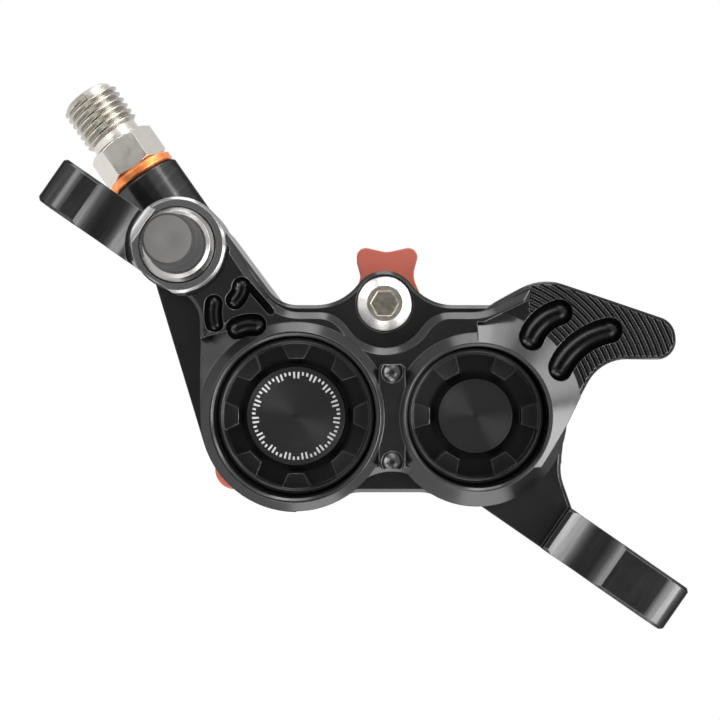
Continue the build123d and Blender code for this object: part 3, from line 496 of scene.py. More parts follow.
@dataclass(frozen=True)
class BodyAnodised:
    """Satin black anodised aluminium with machined streaks on the ears, painted highlights on its edges and
    on the ring round the bleed screw, and painted shade in the fin's grooves and the pockets.

    Attributes:
        shade: the lightness of the faces.
        painted_edge_highlight: the lightness of the painted highlight on the edges.
        painted_land_highlight: the lightness of the painted highlight on the turned ring round the bleed
            screw.
        edge_tint: how much it reflects at a glancing angle.
        roughness: the roughness of the faces.
        grain: the size of the blasted grain, in metres.
        edge_radius: the radius of the softened edges, in metres.
        streak_from: how far from the middle the ears' streaks start, in metres.
        boss: the (u, w) place of the bleed boss's axis, in millimetres.
        land: the inner and outer radius of the ring round the bleed screw, in metres.
        land_depth: the depth in front of which that ring lies, in metres.
        groove_depths: the front and back depth of the fin's fine grooves, in metres.
        groove_radius: how far from the small bore's axis the grooves start, in metres.
        groove_from: how far along the bore line the grooves start, in metres.
        milled: the regions of the fin's slots and of the left arm's pockets.
        pocket_slope: how deep a pocket is where its painted shade is full, in metres.
        pocket_floor: the depth behind which no pocket lies, in metres.
        pocket_share: how full that painted shade gets.
    """

    shade: float = 0.048
    painted_edge_highlight: float = 0.1
    painted_land_highlight: float = 0.24
    edge_tint: float = 0.25
    roughness: float = 0.21
    grain: float = 0.00012
    edge_radius: float = 0.00016
    streak_from: float = 0.026
    boss: Pair = (-20.5, 20.4)
    land: Pair = (0.0046, 0.00586)
    land_depth: float = -0.0206
    groove_depths: Pair = (-0.01932, -0.01915)
    groove_radius: float = 0.0134
    groove_from: float = 0.0218
    milled: tuple[Pocket, ...] = (Pocket(25.8, 9.2, 0.0088, -0.0189), Pocket(-14.0, 12.6, 0.0046, -0.0203))
    pocket_slope: float = 0.0004
    pocket_floor: float = -0.0166
    pocket_share: float = 0.8

    def build(self) -> bpy.types.Material:
        """Makes the material."""
        graph = Graph("body_anodised_satin")
        cloud = graph.noise(0.004, 4.0)
        grain = graph.noise(self.grain, 2.0)
        along = graph.along(Vector((1.0, 0.0, 0.0)), Vector((0.0, 0.0, 0.0)))
        streak = graph.noise(0.0007, 3.0, graph.stretched((1.0, 0.06, 0.06)))
        ears = abs(along).rise(self.streak_from, self.streak_from + 0.004)
        rounded = graph.soft_normal(self.edge_radius)
        edge = graph.edge_share(rounded)
        dark = graph.mixed(cloud, grey(self.shade * 0.86), grey(self.shade * 1.14))
        dark = graph.mixed(ears * (streak - 0.48).clamped() * 1.5, dark, grey(self.shade * 2.2))
        # Painted highlight: the ring round the bleed screw is lighter to stand for the sheen of its turned
        # face.
        dark = graph.mixed(self.painted_boss_highlight(graph), dark, grey(self.painted_land_highlight))
        # Painted shade: the fin's grooves and the pockets' insides are darkened to stand for the shade in
        # these hollows.
        hollow = (self.fin_grooves(graph) + self.pockets(graph)).clamped()
        dark = graph.mixed(hollow, dark, grey(self.shade * 0.25))
        # Painted highlight: the edges are painted lighter than the faces.
        graph.set(Base_Color=graph.mixed(edge, dark, grey(self.painted_edge_highlight)), Metallic=0.9)
        graph.set(Specular_Tint=grey(self.edge_tint))
        graph.set(Roughness=self.roughness + (cloud - 0.5) * 0.1 + (grain - 0.5) * 0.06 - edge * 0.06)
        relief = grain * 0.5 + ears * streak * 1.5
        graph.set(Normal=graph.bumped(relief, 0.0000035, rounded))
        return graph.material

    def painted_boss_highlight(self, graph: Graph) -> Signal:
        """Gives the ring round the bleed screw, painted lighter to stand for the sheen of its turned face.

        Args:
            graph: the graph to build in.

        Returns:
            1 on the ring and 0 beside it.
        """
        radius = Turning(graph, BRAKE.point(*self.boss)).radius
        inner, outer = self.land
        return radius.below(outer) * graph.depth().below(self.land_depth) * radius.above(inner)

    def fin_grooves(self, graph: Graph) -> Signal:
        """Gives the floors of the fin's fine grooves, darkened as painted shade for the shade they lie in.

        Args:
            graph: the graph to build in.

        Returns:
            1 in a groove and 0 beside it.
        """
        radius = Turning(graph, Bore.SMALL.value.centre()).radius
        depth = graph.depth()
        beside = graph.along(BRAKE.direction(0.0), Vector((0.0, 0.0, 0.0)))
        front, back = self.groove_depths
        floor = depth.above(front) * depth.below(back)
        return floor * radius.above(self.groove_radius) * beside.above(self.groove_from)

    def pockets(self, graph: Graph) -> Signal:
        """Gives the insides of the fin's slots and of the left arm's pockets, darkened as painted shade.

        Args:
            graph: the graph to build in.

        Returns:
            1 in a pocket and 0 beside it.
        """
        depth = graph.depth()
        inside: Number = 0.0
        for pocket in self.milled:
            near = Turning(graph, BRAKE.point(pocket.u, pocket.w)).radius.below(pocket.reach)
            sunk = depth.rise(pocket.lip, pocket.lip + self.pocket_slope)
            inside = near * sunk * depth.below(self.pocket_floor) + inside
        return inside * self.pocket_share


@dataclass(frozen=True)
class CapAnodised:
    """Turned black anodised aluminium with painted shade in its trough and painted highlights on its
    recesses' edges, with a ring of plain ticks where one is asked.

    Attributes:
        bore: the bore whose axis the turning runs round.
        shade: the lightness.
        painted_trough_shade: the lightness of the painted shade on the trough's floor.
        painted_edge_highlight: the lightness of the painted highlight on the recesses' edges.
        roughness: the roughness.
        pitch: the distance between the turned rings, in metres.
        slope: the steepest tilt of the rings.
        ticks: how many ticks the ring has, or none.
        tick_low: the ring's inner radius, in metres.
        tick_high: the ring's outer radius, in metres.
        tick_front: the depth in front of which the ring lies, in metres.
        tick_shade: the lightness of a tick.
        trough: the depths between which the trough's painted shade comes in, in metres.
        edge_radius: the radius of the softened edges, in metres.
    """

    bore: Bore
    shade: float = 0.024
    painted_trough_shade: float = 0.018
    painted_edge_highlight: float = 0.16
    roughness: float = 0.24
    pitch: float = 0.00009
    slope: float = 0.3
    ticks: int = 0
    tick_low: float = 0.0046
    tick_high: float = 0.0054
    tick_front: float = -0.017
    tick_shade: float = 0.42
    trough: Pair = (-0.0171, -0.0163)
    edge_radius: float = 0.0002

    def build(self) -> bpy.types.Material:
        """Makes the material."""
        graph = Graph(f"cap_turned_{self.bore.name.lower()}")
        turning = Turning(graph, self.bore.value.centre())
        ring = graph.noise(0.0004, 3.0, graph.node("ShaderNodeCombineXYZ", {}, {0: turning.radius}))
        cloud = graph.noise(0.0025, 3.0)
        colour = graph.mixed(ring, grey(self.shade * 0.75), grey(self.shade * 1.3))
        # Painted shade: the trough's floor is darkened to stand for the shade in it.
        colour = graph.mixed(graph.depth().rise(*self.trough), colour, grey(self.painted_trough_shade))
        edge = graph.edge_share(graph.soft_normal(self.edge_radius))
        # Painted highlight: the recesses' edges are painted lighter.
        colour = graph.mixed(edge, colour, grey(self.painted_edge_highlight))
        ink = 0.0
        if self.ticks:
            ink = self.tick_ring(graph, turning)
            colour = graph.mixed(ink, colour, grey(self.tick_shade))
        graph.set(Base_Color=colour, Metallic=0.85 - 0.85 * ink)
        graph.set(Roughness=self.roughness + (cloud - 0.5) * 0.12, Specular_Tint=grey(0.25))
        graph.set(Normal=turning.normal(self.pitch, self.slope))
        return graph.material

    def tick_ring(self, graph: Graph, turning: Turning) -> Signal:
        """Gives the ring of plain ticks.

        Args:
            graph: the graph to build in.
            turning: the radius round the axis.

        Returns:
            1 on a tick and 0 beside it.
        """
        angle = turning.height.angle_to(turning.across)
        spokes = (angle * float(self.ticks)).sine().above(0.15)
        band = turning.radius.above(self.tick_low) * turning.radius.below(self.tick_high)
        long_share = (angle * float(self.ticks) / 4.0).sine().above(0.0)
        middle = (self.tick_low + self.tick_high) / 2.0
        reach = turning.radius.above(middle) + long_share
        return spokes * band * reach.clamped() * graph.depth().below(self.tick_front)


@dataclass(frozen=True)
class PolishedSteel:
    """Polished stainless steel with faint tool marks, and turned rings where an axis is given.

    Attributes:
        name: the material's name.
        tint: the colour.
        roughness: the roughness.
        scratch: the size of the marks, in metres.
        axis: the (u, w) place of the axis that its faces are turned round, in millimetres.
        slope: the steepest tilt of the turned rings.
        core: the radius within which the face round the axis is duller, in metres.
        core_tint: the colour there.
    """

    name: str
    tint: Colour = (0.57, 0.545, 0.5, 1.0)
    roughness: float = 0.3
    scratch: float = 0.0005
    axis: Optional[Pair] = None
    slope: float = 0.45
    core: float = 0.0
    core_tint: Colour = (0.4, 0.35, 0.27, 1.0)

    def build(self) -> bpy.types.Material:
        """Makes the material."""
        graph = Graph(self.name)
        cloud = graph.noise(0.0016, 4.0)
        fine = graph.noise(self.scratch, 2.0, graph.stretched((1.0, 0.15, 1.0)))
        colour = graph.mixed(cloud, scaled(self.tint, 0.86), self.tint)
        under = graph.soft_normal(0.0001)
        if self.axis is not None:
            turning = Turning(graph, BRAKE.point(*self.axis))
            under = turning.normal(0.00011, self.slope)
            spots = graph.noise(0.0006, 3.0).rise(0.38, 0.62)
            dull = turning.radius.below(self.core) * (0.35 + spots * 0.6)
            colour = graph.mixed(dull, colour, self.core_tint)
        graph.set(Base_Color=colour, Metallic=1.0)
        graph.set(Roughness=self.roughness + (cloud - 0.5) * 0.12 + (fine - 0.5) * 0.08)
        graph.set(Normal=graph.bumped(fine, 0.000002, under))
        return graph.material


@dataclass(frozen=True)
class Copper:
    """Soft orange copper, dull where it has been pressed.

    Attributes:
        bright: the colour of the clean metal.
        dull: the colour of the dull metal.
    """

    bright: Colour = (0.95, 0.36, 0.13, 1.0)
    dull: Colour = (0.62, 0.17, 0.05, 1.0)

    def build(self) -> bpy.types.Material:
        """Makes the material."""
        graph = Graph("copper_washer")
        cloud = graph.noise(0.0012, 4.0)
        fine = graph.noise(0.0001, 2.0)
        graph.set(Base_Color=graph.mixed(cloud.rise(0.3, 0.7), self.bright, self.dull), Metallic=0.9)
        graph.set(Roughness=0.34 + (cloud - 0.5) * 0.2)
        graph.set(Normal=graph.bumped(fine, 0.000003, graph.soft_normal(0.00015)))
        return graph.material


@dataclass(frozen=True)
class Rubber:
    """Moulded rubber with a fine dusty grain, and painted shade on the flank of a round piece.

    Attributes:
        name: the material's name.
        dark: its darker shade.
        light: its lighter shade.
        roughness: the roughness.
        axis: the (u, w) place of the axis of a round piece, in millimetres.
        crown: the radius of its crown, outside which its flank gets painted shade, in metres.
        flank: the lightness of the painted shade on its flank outside the crown.
    """

    name: str
    dark: Colour
    light: Colour
    roughness: float = 0.75
    axis: Optional[Pair] = None
    crown: float = 0.0
    flank: float = 0.02

    def build(self) -> bpy.types.Material:
        """Makes the material."""
        graph = Graph(self.name)
        grain = graph.noise(0.00018, 3.0)
        cloud = graph.noise(0.0015, 3.0)
        colour = graph.mixed(grain * 0.6 + cloud * 0.4, self.dark, self.light)
        if self.axis is not None:
            radius = Turning(graph, BRAKE.point(*self.axis)).radius
            # Painted shade: the flank round the crown is darkened to stand for the shade on the cap's side.
            colour = graph.mixed(radius.rise(self.crown, self.crown + 0.00012), colour, grey(self.flank))
        graph.set(Base_Color=colour, Metallic=0.0)
        graph.set(Roughness=self.roughness + (grain - 0.5) * 0.2, Specular_IOR_Level=0.3)
        graph.set(Normal=graph.bumped(grain, 0.00001, graph.soft_normal(0.0002)))
        return graph.material


@dataclass(frozen=True)
class PowderCoat:
    """Brick red powder coat with its soft ripple, worn paler on the edges.

    Attributes:
        deep: the colour in the hollows.
        worn: the colour on the edges.
        ripple: the size of the ripple, in metres.
    """

    deep: Colour = (0.32, 0.074, 0.05, 1.0)
    worn: Colour = (0.46, 0.19, 0.15, 1.0)
    ripple: float = 0.0004

    def build(self) -> bpy.types.Material:
        """Makes the material."""
        graph = Graph("plate_powder_coat")
        ripple = graph.noise(self.ripple, 3.0)
        cloud = graph.noise(0.003, 3.0)
        rounded = graph.soft_normal(0.0003)
        edge = graph.edge_share(rounded)
        deep = graph.mixed(cloud, self.deep, scaled(self.deep, 1.25))
        graph.set(Base_Color=graph.mixed(edge * 0.7, deep, self.worn), Metallic=0.0)
        graph.set(Roughness=0.42 + (ripple - 0.5) * 0.2)
        graph.set(Normal=graph.bumped(ripple, 0.00001, rounded))
        return graph.material


@dataclass(frozen=True)
class Lining:
    """Pressed friction compound: dark binder with metal flecks and pores.

    Attributes:
        binder: the binder's colour.
        fleck: the flecks' colour.
    """

    binder: Colour = (0.075, 0.06, 0.052, 1.0)
    fleck: Colour = (0.36, 0.27, 0.17, 1.0)

    def build(self) -> bpy.types.Material:
        """Makes the material."""
        graph = Graph("friction_compound")
        speck = graph.cells(0.0004).below(0.22)
        cloud = graph.noise(0.0012, 4.0)
        pore = graph.noise(0.0003, 4.0)
        fleck = speck * cloud.rise(0.45, 0.6)
        graph.set(Base_Color=graph.mixed(fleck, graph.mixed(cloud, self.binder, grey(0.11, 0.1)), self.fleck))
        graph.set(Metallic=fleck * 0.8, Roughness=0.85 - fleck * 0.4)
        graph.set(Normal=graph.bumped(pore, 0.00006))
        return graph.material


@dataclass(frozen=True)
class Ceramic:
    """Moulded pale phenolic of the pistons.

    Attributes:
        base: its colour.
    """

    base: Colour = (0.55, 0.52, 0.46, 1.0)

    def build(self) -> bpy.types.Material:
        """Makes the material."""
        graph = Graph("piston_phenolic")
        speck = graph.noise(0.0003, 4.0)
        cloud = graph.noise(0.003, 3.0)
        colour = graph.mixed(speck * 0.5 + cloud * 0.5, scaled(self.base, 0.8), self.base)
        graph.set(Base_Color=colour, Metallic=0.0)
        graph.set(Roughness=0.5 + (speck - 0.5) * 0.2)
        graph.set(Normal=graph.bumped(speck, 0.000006, graph.soft_normal(0.0002)))
        return graph.material


# ---------------------------------------------------------------- mesh making


class Shape:
    """A mesh that is made with bmesh operators along +Z, in millimetres, and then set in place."""

    def __init__(self) -> None:
        """Starts with an empty mesh."""
        self.mesh = bmesh.new()

    def spin(self, profile: Profile, steps: int, turns: float = 1.0, pitch: float = 0.0) -> None:
        """Spins a profile round Z: closed, or open where it climbs.

        Args:
            profile: the (radius, z) points; both ends may lie on the axis.
            steps: how many steps one turn has.
            turns: how many turns there are.
            pitch: the climb of one turn.
        """
        verts = [self.mesh.verts.new((radius, 0.0, z)) for radius, z in profile]
        edges = [self.mesh.edges.new(pair) for pair in zip(verts, verts[1:])]
        bmesh.ops.spin(
            self.mesh,
            geom=verts + edges,
            cent=(0.0, 0.0, 0.0),
            axis=(0.0, 0.0, 1.0),
            dvec=(0.0, 0.0, pitch / steps),
            angle=2.0 * math.pi * turns,
            steps=int(turns * steps),
            use_merge=pitch == 0.0,
            use_duplicate=False,
        )

    def move(self, rule: Callable[[Vector], Vector]) -> None:
        """Moves each vertex by a rule.

        Args:
            rule: gives a vertex's new place from its old one.
        """
        for vert in self.mesh.verts:
            vert.co = rule(vert.co.copy())

    def build(
        self, name: str, place: Matrix, material: bpy.types.Material, sharp: float = 28.0
    ) -> bpy.types.Object:
        """Closes the mesh and makes the object.

        Args:
            name: the object's name.
            place: the matrix that sets the mesh in place, in metres.
            material: its material.
            sharp: the angle over which an edge stays sharp, in degrees.

        Returns:
            The object.
        """
        mesh = self.mesh
        bmesh.ops.remove_doubles(mesh, verts=mesh.verts[:], dist=0.0005)
        bmesh.ops.recalc_face_normals(mesh, faces=mesh.faces[:])
        bmesh.ops.transform(mesh, matrix=place @ Matrix.Scale(MM, 4), verts=mesh.verts[:])
        for face in mesh.faces:
            face.smooth = True
        for edge in mesh.edges:
            flat = len(edge.link_faces) != 2 or edge.calc_face_angle(0.0) < math.radians(sharp)
            edge.smooth = flat
        data = bpy.data.meshes.new(name)
        mesh.to_mesh(data)
        mesh.free()
        data.materials.append(material)
        piece = bpy.data.objects.new(name, data)
        bpy.context.scene.collection.objects.link(piece)
        return piece


def dress(nodes: Iterable[str], material: bpy.types.Material) -> None:
    """Gives CAD nodes a material.

    Args:
        nodes: the nodes' names.
        material: the material.
    """
    for name in nodes:
        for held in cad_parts[name].material_slots:
            held.material = material
        log.info("dressed %s in %s", name, material.name)


# ---------------------------------------------------------------- sub-assemblies


@dataclass
class CaliperBody:
    """The machined body with its bore caps.

    Attributes:
        finish: the body's finish.
        ticks: how many ticks stand round the large cap's crown.
    """

    finish: BodyAnodised = field(default_factory=BodyAnodised)
    ticks: int = 60

    def dress(self) -> None:
        """Dresses the body and its two caps."""
        dress(["caliper_body"], self.finish.build())
        dress(["bore_cap_large"], CapAnodised(Bore.LARGE, ticks=self.ticks).build())
        dress(["bore_cap_small"], CapAnodised(Bore.SMALL).build())


@dataclass
class HoseConnector:
    """The hose connector with its helical thread.

    Attributes:
        u: the axis' place along the bore line, in millimetres.
        w: the axis' place away from the hub, in millimetres.
        lean: the axis' angle in the brake frame, in degrees.
        seat: the washer's half thickness, in millimetres.
        flats: the hexagon's size across flats, in millimetres.
        hexagon: the hexagon's length, in millimetres.
        neck: the neck's radius, in millimetres.
        crest: the thread's crest radius, in millimetres.
        root: the thread's root radius, in millimetres.
        thread: the thread's length with its neck, in millimetres.
        pitch: the thread's pitch, in millimetres.
        bore: the radius of the fluid way, in millimetres.
        shank: the length of the shank in the body, in millimetres.
        shank_radius: the shank's radius, in millimetres.
        bevel: the bevel at the shank's end, in millimetres.
        mouth: the radius of the seat in its mouth, in millimetres.
        cone: the depth of that seat, in millimetres.
        lip: the width of the small bevels at the tip, in millimetres.
    """

    u: float = -27.6
    w: float = 31.23
    lean: float = 125.0
    seat: float = 0.65
    flats: float = 8.0
    hexagon: float = 4.5
    neck: float = 3.35
    crest: float = 3.9
    root: float = 3.34
    thread: float = 7.6
    pitch: float = 0.9
    bore: float = 1.1
    shank: float = 7.15
    shank_radius: float = 3.5
    bevel: float = 0.5
    mouth: float = 2.4
    cone: float = 3.0
    lip: float = 0.12

    def place(self) -> Matrix:
        """Gives the matrix that stands the connector on its seat."""
        return BRAKE.standing(BRAKE.point(self.u, self.w), BRAKE.direction(self.lean))

    def hex_radius(self, spot: Vector) -> float:
        """Gives the hexagon's radius in the direction of a point.

        Args:
            spot: the point.

        Returns:
            The radius in millimetres.
        """
        turn = math.atan2(spot.y, spot.x)
        sector = math.radians(60.0)
        off = (turn + sector / 2.0) % sector - sector / 2.0
        return self.flats / 2.0 / math.cos(off)

    def body_profile(self) -> list[Pair]:
        """Gives the turned outline, with the hexagon's corners as its turned end cones."""
        flat = self.flats / 2.0
        corner = flat / math.cos(math.radians(30.0))
        drop = (corner - flat) / 1.5
        low, high = self.seat, self.seat + self.hexagon
        tip = high + self.thread
        steps = 6
        inner = flat - 0.1
        shares = [step / steps for step in range(steps + 1)]
        rise = [(inner + (corner - inner) * share, low + drop * share) for share in shares]
        fall = [(radius, high - (z - low)) for radius, z in reversed(rise)]
        end = -self.shank
        start = [
            (self.bore, end),
            (self.shank_radius - self.bevel, end),
            (self.shank_radius, end + self.bevel),
            (self.shank_radius, low),
        ]
        shoulder = [(self.neck + 0.25, high), (self.neck, high + 0.2), (self.neck, high + 0.75)]
        core = [(self.root, high + 0.8), (self.root, tip - 0.45), (self.root - 0.25, tip - self.lip)]
        mouth = [
            (self.root - 0.4, tip),
            (self.mouth + 0.15, tip),
            (self.mouth, tip - self.lip),
            (self.bore, tip - self.cone),
        ]
        return start + rise + fall + shoulder + core + mouth + [start[0]]

    def build(self, steel: bpy.types.Material, shaded_thread_steel: bpy.types.Material) -> list[bpy.types.Object]:
        """Makes the connector's body and its thread.

        Args:
            steel: the body's material.
            shaded_thread_steel: the thread's material, a darker copy of the steel whose darkness is painted
                shade.

        Returns:
            The two pieces.
        """
        low, high = self.seat, self.seat + self.hexagon
        body = Shape()
        body.spin(self.body_profile(), 144)

        def squared(spot: Vector) -> Vector:
            """Draws a vertex in to the hexagon's flats."""
            reach = math.hypot(spot.x, spot.y)
            if low - 0.001 <= spot.z <= high + 0.001 and reach > self.flats / 2.0 - 0.2:
                share = min(1.0, self.hex_radius(spot) / reach)
                return Vector((spot.x * share, spot.y * share, spot.z))
            return spot

        body.move(squared)
        connector = body.build("hose_connector_turned", self.place(), steel)
        start = high + 0.75
        end = high + self.thread - 0.1
        turns = (end - start - self.pitch) / self.pitch
        tooth = [(0.0, 0.0), (0.41, 0.34), (0.48, 0.40), (0.48, 0.50), (0.41, 0.56), (0.0, 0.9)]
        height = self.crest - self.root
        profile = [(self.root - 0.02 + r * height / 0.48, start + z * self.pitch / 0.9) for r, z in tooth]
        thread = Shape()
        thread.spin(profile, 60, turns, self.pitch)
        top = end

        def faded(spot: Vector) -> Vector:
            """Lets the thread run out at both ends."""
            reach = math.hypot(spot.x, spot.y)
            room = min(spot.z - start, top - spot.z)
            share = max(0.0, min(1.0, room / (0.8 * self.pitch)))
            wanted = min(reach, self.root - 0.05 + (self.crest - self.root + 0.05) * share)
            return Vector((spot.x * wanted / reach, spot.y * wanted / reach, spot.z))

        thread.move(faded)
        helix = thread.build("hose_connector_thread", self.place(), shaded_thread_steel, 50.0)
        return [connector, helix]


@dataclass
class BleedCap:
    """The rubber cap over the bleed screw, with its rolled foot and moulding ring.

    Attributes:
        u: the axis' place along the bore line, in millimetres.
        w: the axis' place away from the hub, in millimetres.
        foot: the depth of its foot, in millimetres.
        radius: its radius at the foot, in millimetres.
        nose: its radius at the nose, in millimetres.
        shoulder: the shoulder's height over the foot, in millimetres.
        height: its whole height, in millimetres.
        socket: the radius of the room for the screw's hexagon, in millimetres.
        barb: the radius of the room for the screw's barb, in millimetres.
    """

    u: float = -20.5
    w: float = 20.4
    foot: float = -22.2
    radius: float = 3.33
    nose: float = 3.05
    shoulder: float = 4.0
    height: float = 8.4
    socket: float = 2.66
    barb: float = 1.96

    def profile(self) -> list[Pair]:
        """Gives the cap's outline as (radius, height over the foot)."""
        bead = [
            (self.radius - 0.12, 0.0),
            (self.radius, 0.12),
            (self.radius, 0.35),
        ]
        turn = [
            (self.nose + 0.06, self.shoulder - 0.3),
            (self.nose, self.shoulder),
        ]
        seam = [
            (self.nose, self.height - 1.5),
            (self.nose + 0.05, self.height - 1.42),
            (self.nose + 0.05, self.height - 1.34),
            (self.nose, self.height - 1.26),
        ]
        nose = [
            (self.nose, self.height - 0.4),
            (self.nose - 0.12, self.height - 0.12),
            (self.nose - 0.38, self.height - 0.01),
            (1.0, self.height),
            (0.7, self.height - 0.08),
            (0.0, self.height - 0.1),
        ]
        inside = [
            (0.0, 7.06),
            (self.barb, 7.06),
            (self.barb, 2.06),
            (self.socket, 2.06),
            (self.socket, 0.0),
        ]
        return inside + bead + turn + seam + nose

    def build(self, rubber: bpy.types.Material) -> bpy.types.Object:
        """Makes the cap.

        Args:
            rubber: its material.

        Returns:
            The cap.
        """
        shape = Shape()
        shape.spin(self.profile(), 96)
        facing = Matrix.Rotation(math.radians(90.0), 4, "X")
        place = Matrix.Translation(BRAKE.point(self.u, self.w, self.foot)) @ facing
        return shape.build("bleed_cap_rubber", place, rubber, 40.0)


@dataclass
class Hydraulics:
    """The bleed screw, its rubber cap, the hose connector, the washer, the pistons and the seals.

    Attributes:
        connector: the hose connector.
        cap: the rubber cap.
    """

    connector: HoseConnector = field(default_factory=HoseConnector)
    cap: BleedCap = field(default_factory=BleedCap)

    def build(self) -> None:
        """Builds the new pieces and puts them on their bodies."""
        steel = PolishedSteel("connector_steel").build()
        # Painted shade: the thread gets a darker copy of the connector's steel to stand for the shade between
        # its turns.
        shaded_thread_steel = PolishedSteel("connector_thread_shaded_steel", (0.42, 0.4, 0.36, 1.0), 0.26).build()
        for piece in self.connector.build(steel, shaded_thread_steel):
            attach(piece, "caliper")
            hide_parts("hose_connector")
            log.info("built %s", piece.name)
        spot = (self.cap.u, self.cap.w)
        rubber = Rubber("bleed_cap_grey", grey(0.06, 0.04), grey(0.09, 0.04), axis=spot, crown=0.00268)
        cap = self.cap.build(rubber.build())
        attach(cap, "screw_cap")
        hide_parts("bleed_cap")
        log.info("built %s", cap.name)

    def dress(self) -> None:
        """Dresses the CAD nodes."""
        dress(["connector_washer"], Copper().build())
        dress(["bleed_nipple"], PolishedSteel("bleed_screw_steel", (0.3, 0.295, 0.29, 1.0), 0.26).build())
        halves = [f"{half}_{size}" for half in ("outboard", "inboard") for size in ("large", "small")]
        dress([f"piston_{half}" for half in halves], Ceramic().build())
        black = Rubber("seal_black", grey(0.018), grey(0.035), 0.5).build()
        dress([f"{kind}_seal_{half}" for kind in ("fluid", "dust") for half in halves], black)
        dress(["cap_seal_large", "cap_seal_small"], black)
        dress(["gallery_plug"], PolishedSteel("plug_steel", (0.5, 0.5, 0.5, 1.0), 0.3).build())


@dataclass
class PadSet:
    """The two pads, their pin, its clip and their spring.

    Attributes:
        coat: the finish of the backing plates.
        lining: the finish of the linings.
        pin: the (u, w) place of the pin's axis, in millimetres.
    """

    coat: PowderCoat = field(default_factory=PowderCoat)
    lining: Lining = field(default_factory=Lining)
    pin: Pair = (4.55, 13.44)

    def dress(self) -> None:
        """Dresses the CAD nodes."""
        dress(["pad_plate_outboard", "pad_plate_inboard"], self.coat.build())
        dress(["pad_lining_outboard", "pad_lining_inboard"], self.lining.build())
        tint = (0.56, 0.55, 0.53, 1.0)
        pin = PolishedSteel("pin_steel", tint, 0.24, axis=self.pin, slope=0.15, core=0.0021)
        dress(["pad_pin"], pin.build())
        spring = PolishedSteel("spring_strip_steel", (0.55, 0.55, 0.56, 1.0), 0.28, 0.0003)
        dress(["pad_spring", "pin_clip"], spring.build())


# ---------------------------------------------------------------- studio


@dataclass(frozen=True)
class Softbox:
    """One large soft lamp that looks at the caliper.

    Attributes:
        name: its name.
        place: where it stands, in metres.
        width: its width, in metres.
        height: its height, in metres.
        level: how bright its face is, 1 for white.
    """

    name: str
    place: tuple[float, float, float]
    width: float
    height: float
    level: float

    def build(self) -> None:
        """Makes the lamp."""
        lamp = bpy.data.lights.new(self.name, "AREA")
        lamp.shape = "RECTANGLE"
        lamp.size = self.width
        lamp.size_y = self.height
        lamp.energy = self.level * WATTS_PER_LEVEL * self.width * self.height
        holder = bpy.data.objects.new(self.name, lamp)
        spot = Vector(self.place)
        holder.location = spot
        holder.rotation_euler = (-spot).to_track_quat("-Z", "Y").to_euler()
        bpy.context.scene.collection.objects.link(holder)
        log.info("lit %s", self.name)


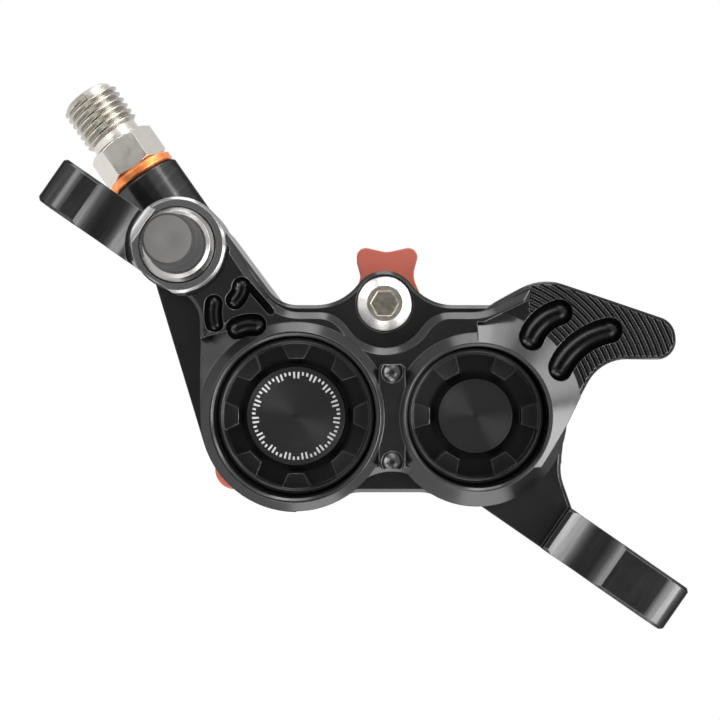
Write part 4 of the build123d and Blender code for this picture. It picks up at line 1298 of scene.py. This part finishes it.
@dataclass
class Studio:
    """The camera, the floor, the dark card behind the camera, the world and the lamps.

    Attributes:
        eye_u: the camera's place along the bore line, in millimetres.
        eye_w: the camera's place away from the hub, in millimetres.
        distance: the camera's distance from the rotor's middle plane, in millimetres.
        lens: the camera's focal length on a 36 mm sensor.
        floor_drop: the floor's depth under the ears, in metres.
        floor_size: the floor's width, in metres.
        floor_shade: how light its paint is.
        floor_share: how much of the floor's look comes from its own white.
        floor_glow: the level of that white.
        card_distance: how far the dark card stands, in metres.
        card_radius: the dark card's radius, in metres.
        card_shade: how light the card is.
        ambient: the world's level on diffuse surfaces.
        lamps: the lamps.
    """

    eye_u: float = 1.53
    eye_w: float = 6.52
    distance: float = 217.0
    lens: float = 81.4
    floor_drop: float = 0.3
    floor_size: float = 6.0
    floor_shade: float = 0.85
    floor_share: float = 0.65
    floor_glow: float = 1.45
    card_distance: float = 1.2
    card_radius: float = 0.42
    card_shade: float = 0.18
    ambient: float = 0.35
    lamps: tuple[Softbox, ...] = (
        Softbox("softbox_left", (-0.54, -0.65, 0.05), 0.28, 0.5, 4.2),
        Softbox("softbox_right", (0.54, -0.65, 0.05), 0.28, 0.5, 4.2),
        Softbox("softbox_far_right", (0.69, -0.33, 0.22), 0.42, 0.6, 8.5),
        Softbox("softbox_high_right", (0.33, -0.33, 0.65), 0.6, 0.3, 5.0),
        Softbox("softbox_high_left", (-0.27, -0.33, 0.68), 0.6, 0.35, 4.0),
        Softbox("softbox_overhead", (-0.46, -0.02, 0.66), 0.8, 0.4, 3.0),
        Softbox("softbox_low", (0.18, -0.1, -0.25), 0.45, 0.2, 2.6),
    )

    def camera(self) -> None:
        """Makes the camera, square on to the outboard side and turned with the bore line."""
        data = bpy.data.cameras.new("studio_camera")
        data.lens = self.lens
        data.sensor_width = 36.0
        data.clip_start = 0.01
        data.clip_end = 20.0
        right = BRAKE.direction(0.0)
        up = BRAKE.direction(90.0)
        matrix = Matrix((right, up, Vector((0.0, -1.0, 0.0)))).transposed().to_4x4()
        matrix.translation = BRAKE.point(self.eye_u, self.eye_w, -self.distance)
        holder = bpy.data.objects.new("studio_camera", data)
        holder.matrix_world = matrix
        bpy.context.scene.collection.objects.link(holder)
        bpy.context.scene.camera = holder

    def lighten(self, graph: Graph) -> None:
        """Makes the floor white where it is seen or reflected, and keeps its shadows.

        Args:
            graph: the floor's graph.
        """
        path = graph.node("ShaderNodeLightPath", {}, {}, "Is Camera Ray")
        glossy = Signal(graph, path.socket.node.outputs["Is Glossy Ray"])
        through = Signal(graph, path.socket.node.outputs["Is Transmission Ray"])
        seen = (path + glossy + through).clamped() * self.floor_share
        glow = graph.node("ShaderNodeEmission", {}, {"Strength": self.floor_glow})
        paint = Signal(graph, graph.shader.outputs[0])
        mix = graph.node("ShaderNodeMixShader", {}, {0: seen, 1: paint, 2: glow})
        output = next(node for node in graph.tree.nodes if node.type == "OUTPUT_MATERIAL")
        graph.tree.links.new(mix.socket, output.inputs[0])

    def paint(self, name: str, shade: float) -> Graph:
        """Makes a dull paint.

        Args:
            name: its name.
            shade: how light it is.

        Returns:
            The paint's graph.
        """
        graph = Graph(name)
        graph.set(Base_Color=grey(shade), Roughness=0.9, Specular_IOR_Level=0.0)
        return graph

    def card(self, name: str, corners: int, size: float, place: Matrix, paint: Graph) -> bpy.types.Object:
        """Makes a flat card.

        Args:
            name: its name.
            corners: how many corners it has.
            size: its radius, in metres.
            place: the matrix that sets it.
            paint: its paint.

        Returns:
            The card.
        """
        mesh = bmesh.new()
        bmesh.ops.create_circle(mesh, cap_ends=True, segments=corners, radius=size)
        bmesh.ops.transform(mesh, matrix=place, verts=mesh.verts[:])
        data = bpy.data.meshes.new(name)
        mesh.to_mesh(data)
        mesh.free()
        data.materials.append(paint.material)
        piece = bpy.data.objects.new(name, data)
        bpy.context.scene.collection.objects.link(piece)
        return piece

    def world(self) -> None:
        """Makes the world: white where it is seen or reflected, plain light elsewhere."""
        world = bpy.data.worlds.new("studio_world")
        bpy.context.scene.world = world
        world.use_nodes = True
        tree = world.node_tree
        tree.nodes.clear()
        path = tree.nodes.new("ShaderNodeLightPath")
        shown = path.outputs["Is Camera Ray"]
        for ray in ("Is Glossy Ray", "Is Transmission Ray"):
            either = tree.nodes.new("ShaderNodeMath")
            either.operation = "MAXIMUM"
            tree.links.new(shown, either.inputs[0])
            tree.links.new(path.outputs[ray], either.inputs[1])
            shown = either.outputs[0]
        mix = tree.nodes.new("ShaderNodeMixShader")
        tree.links.new(shown, mix.inputs[0])
        for slot, strength in ((1, self.ambient), (2, 1.0)):
            light = tree.nodes.new("ShaderNodeBackground")
            light.inputs[0].default_value = (1.0, 1.0, 1.0, 1.0)
            light.inputs[1].default_value = strength
            tree.links.new(light.outputs[0], mix.inputs[slot])
        output = tree.nodes.new("ShaderNodeOutputWorld")
        tree.links.new(mix.outputs[0], output.inputs[0])

    def build(self) -> None:
        """Makes the whole studio."""
        self.camera()
        square = Matrix.Rotation(math.radians(45.0), 4, "Z")
        below = Matrix.Translation((0.0, 0.0, -self.floor_drop)) @ square
        white = self.paint("studio_floor_white", self.floor_shade)
        self.lighten(white)
        self.card("studio_floor", 4, self.floor_size / math.sqrt(2.0), below, white)
        upright = Matrix.Rotation(math.radians(-90.0), 4, "X")
        behind = Matrix.Translation((0.0, -self.card_distance, 0.0)) @ upright
        dark = self.paint("dark_card_paint", self.card_shade)
        flag = self.card("dark_card", 64, self.card_radius, behind, dark)
        flag.visible_camera = False
        flag.visible_diffuse = False
        self.world()
        for lamp in self.lamps:
            lamp.build()
        bpy.context.scene.view_settings.view_transform = "Standard"


def main() -> None:
    """Builds the studio and dresses the caliper, group by group."""
    logging.basicConfig(level=logging.INFO, format="%(name)s: %(message)s")
    Studio().build()
    hydraulics = Hydraulics()
    hydraulics.build()
    hydraulics.dress()
    CaliperBody().dress()
    PadSet().dress()
    log.info("caliper dressed")


if __name__ == "__main__":
    main()
